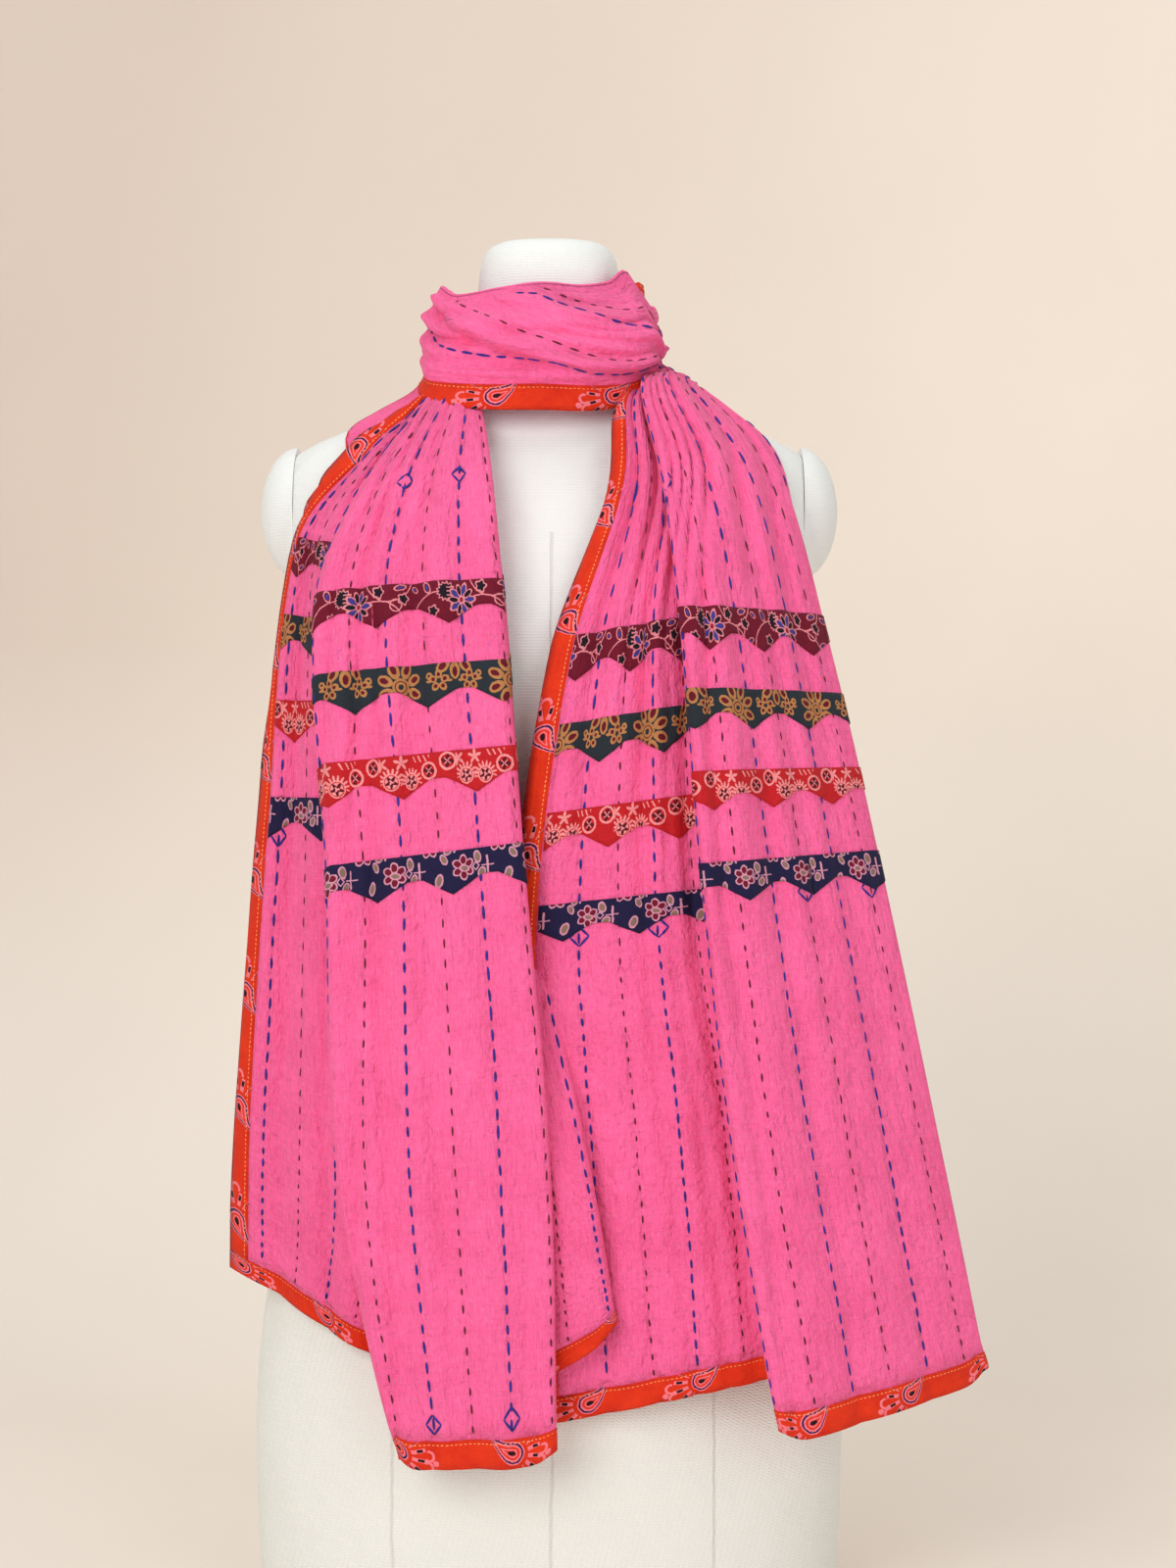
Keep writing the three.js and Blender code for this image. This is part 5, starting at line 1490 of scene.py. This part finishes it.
def backdrop_paper():
    """Matt cream paper, seen from its front only. Its wall is painted darker towards the upper left, as painted
    shade, and it is painted lighter down towards the floor, as painted light.
    """
    material, r, shader = new_material("Cream backdrop")
    place = r.body_place()
    x, _, z = r.parts(place)
    faint = r.noise(r.stretched(place, 0.0022, 0.0022, 0.0022), 1.0, 3.0, 0.55)
    # Painted shade: the wall darkens towards the upper left
    painted_shade_share = r.between(x * 0.8 - z * 0.45, -950, 50)
    wall = r.blend(painted_shade_share, rgb(227, 212, 199), rgb(253, 242, 229))
    # Painted light: the paper grows lighter down to the floor
    floor = r.between(z, 0, 700, 1.0, 0.0)
    colour = r.shaded(r.blend(floor, wall, rgb(254, 247, 238)), faint * 0.1 + 0.95)
    r.feed(shader.inputs["Base Color"], colour)
    shader.inputs["Roughness"].default_value = 0.95
    clear = r.add("ShaderNodeBsdfTransparent")
    behind = r.add("ShaderNodeNewGeometry").outputs["Backfacing"]
    both = r.add("ShaderNodeMixShader", {0: behind, 1: shader.outputs[0], 2: clear.outputs[0]})
    out = next(node for node in r.tree.nodes if node.type == "OUTPUT_MATERIAL")
    r.tree.links.new(both.outputs[0], out.inputs[0])
    return material


PINK = pink_cotton()
PRINTS = {
    "maroon": printed_cotton("Maroon print", maroon_group()),
    "slate": printed_cotton("Slate print", slate_group()),
    "red": printed_cotton("Red print", red_group()),
    "indigo": printed_cotton("Indigo print", indigo_group()),
}
ORANGE = printed_cotton("Orange print", paisley_group())
BLUE_THREAD = thread_material("Blue thread", rgb(62, 56, 190), rgb(38, 32, 130))
MAROON_THREAD = thread_material("Maroon thread", rgb(136, 22, 52), rgb(92, 14, 36))
JERSEY = white_jersey()
PAPER = backdrop_paper()


# Putting it together

def dress(piece, material, slot, *nodes):
    """Gives a piece its material, hangs it from the root, and hides the parts of the model that it takes the place
    of.
    """
    piece.data.materials.clear()
    piece.data.materials.append(material)
    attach(piece, "root")
    if nodes:
        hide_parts(*nodes)
    return piece


SIDES = (("left", 0, left_end, left_at, LEFT_DIAMONDS), ("right", 1, right_end, right_at, RIGHT_DIAMONDS))
WHOLE, INSIDE = slice(None), slice(BANDS, -BANDS)
FIRST, FROM_BINDING, LAST = slice(0, BANDS + 1), slice(BANDS, None), slice(-BANDS - 1, None)

cloth = patch_piece("stole_quilted_cotton", [
    (left_end, FROM_BINDING, INSIDE), (right_end, FROM_BINDING, INSIDE), (loop, WHOLE, INSIDE),
])
thicken(cloth, CLOTH_THICK)
dress(cloth, PINK, "pink_cotton", "stole_cloth")

for label, k, end, _, _ in SIDES:
    for kind, rows, columns in (("hem", FIRST, WHOLE), ("outer", FROM_BINDING, FIRST), ("inner", FROM_BINDING, LAST)):
        starts = (kind, PAISLEY_STARTS[kind][k])
        band = patch_piece(f"binding_{kind}_{label}_cotton", [(end, rows, columns)], starts)
        thicken(band, BINDING_THICK)
        dress(band, ORANGE, "orange_print", f"binding_{kind}_{label}")

for kind, first, last, columns in (("throat", -52, 76, FIRST), ("nape", 128, 232, FIRST), ("neck", 0, 360, LAST)):
    band = arc_piece(f"binding_{kind}_cotton", loop, first, last, columns)
    thicken(band, BINDING_THICK)
    dress(band, ORANGE, "orange_print", f"binding_{kind}")

for label, k, end, at, _ in SIDES:
    for kind, top in STRIP_TOPS.items():
        strip = strip_piece(f"strip_{label}_{kind}_cotton", at, end["side"], top, SCALLOP_STARTS[kind][k])
        dress(strip, PRINTS[kind], f"{kind}_print", f"strip_{label}_{kind}")

blue, maroon = loop_stitches()
for _, _, _, at, diamonds in SIDES:
    more_blue, more_maroon = end_stitches(at, diamonds)
    blue += more_blue
    maroon += more_maroon
blue_stitches = dress(thread_piece("running_stitches_blue", blue), BLUE_THREAD, "indigo_print")
maroon_stitches = dress(thread_piece("running_stitches_maroon", maroon), MAROON_THREAD, "maroon_print")

form = dress(torso(), JERSEY, "white_jersey", "form_torso")
for label, side in (("left", -1), ("right", 1)):
    dress(arm_cap(f"form_arm_cap_{label}_jersey", side), JERSEY, "white_jersey", f"form_arm_cap_{label}")


# Studio

def backdrop():
    """A pale floor that curves up into a wall."""
    clear_selection()
    bpy.ops.mesh.primitive_plane_add(size=1, location=(0, 0, 0))
    paper = bpy.context.object
    paper.name = "paper_floor_and_wall"
    bpy.ops.object.mode_set(mode="EDIT")
    bpy.ops.transform.resize(value=(9, 6.2, 1), center_override=(0, 0, 0))
    bpy.ops.transform.translate(value=(0, -1.9, -0.0005))
    pick(paper, lambda co: co.y > 1)
    bpy.ops.mesh.extrude_region_move(TRANSFORM_OT_translate={"value": (0, 0, 4.5)})
    pick(paper, lambda co: co.y > 1 and co.z < 0.1)
    bpy.ops.mesh.bevel(offset=0.7, segments=16, affect="EDGES")
    bpy.ops.object.mode_set(mode="OBJECT")
    only(paper)
    bpy.ops.object.shade_smooth()
    paper.data.materials.append(PAPER)
    return paper


def softbox(name, size, place, aim, power, tint=(1, 1, 1)):
    """A soft rectangular lamp, aimed at a place."""
    lamp = bpy.data.lights.new(name, "AREA")
    lamp.shape = "RECTANGLE"
    lamp.size, lamp.size_y = size
    lamp.energy = power
    lamp.color = tint
    holder = bpy.data.objects.new(name, lamp)
    bpy.context.collection.objects.link(holder)
    holder.location = place
    holder.rotation_euler = (Vector(aim) - Vector(place)).to_track_quat("-Z", "Y").to_euler()


backdrop()
softbox("soft key", (1.8, 1.8), (-1.3, -2.6, 1.55), (0, 0, 0.45), 43, (1, 0.985, 0.965))
softbox("soft fill", (2.2, 2.2), (1.9, -2.4, 0.9), (0, 0, 0.4), 21, (1, 0.99, 0.98))
softbox("top light", (2.4, 1.6), (0, -0.4, 2.7), (0, 0.1, 0.4), 17)
world = bpy.data.worlds.new("Studio air")
world.use_nodes = True
air = world.node_tree.nodes["Background"].inputs
air["Color"].default_value = (1, 0.97, 0.94, 1)
air["Strength"].default_value = 0.32
bpy.context.scene.world = world

lens = bpy.data.cameras.new("camera")
lens.lens = 61.36
lens.sensor_width = 36
camera = bpy.data.objects.new("camera", lens)
camera.location = (0.026, -1.8, 0.54)
camera.rotation_euler = (math.pi / 2, 0, 0)
bpy.context.collection.objects.link(camera)
bpy.context.scene.camera = camera

bpy.context.scene.view_settings.view_transform = "Standard"
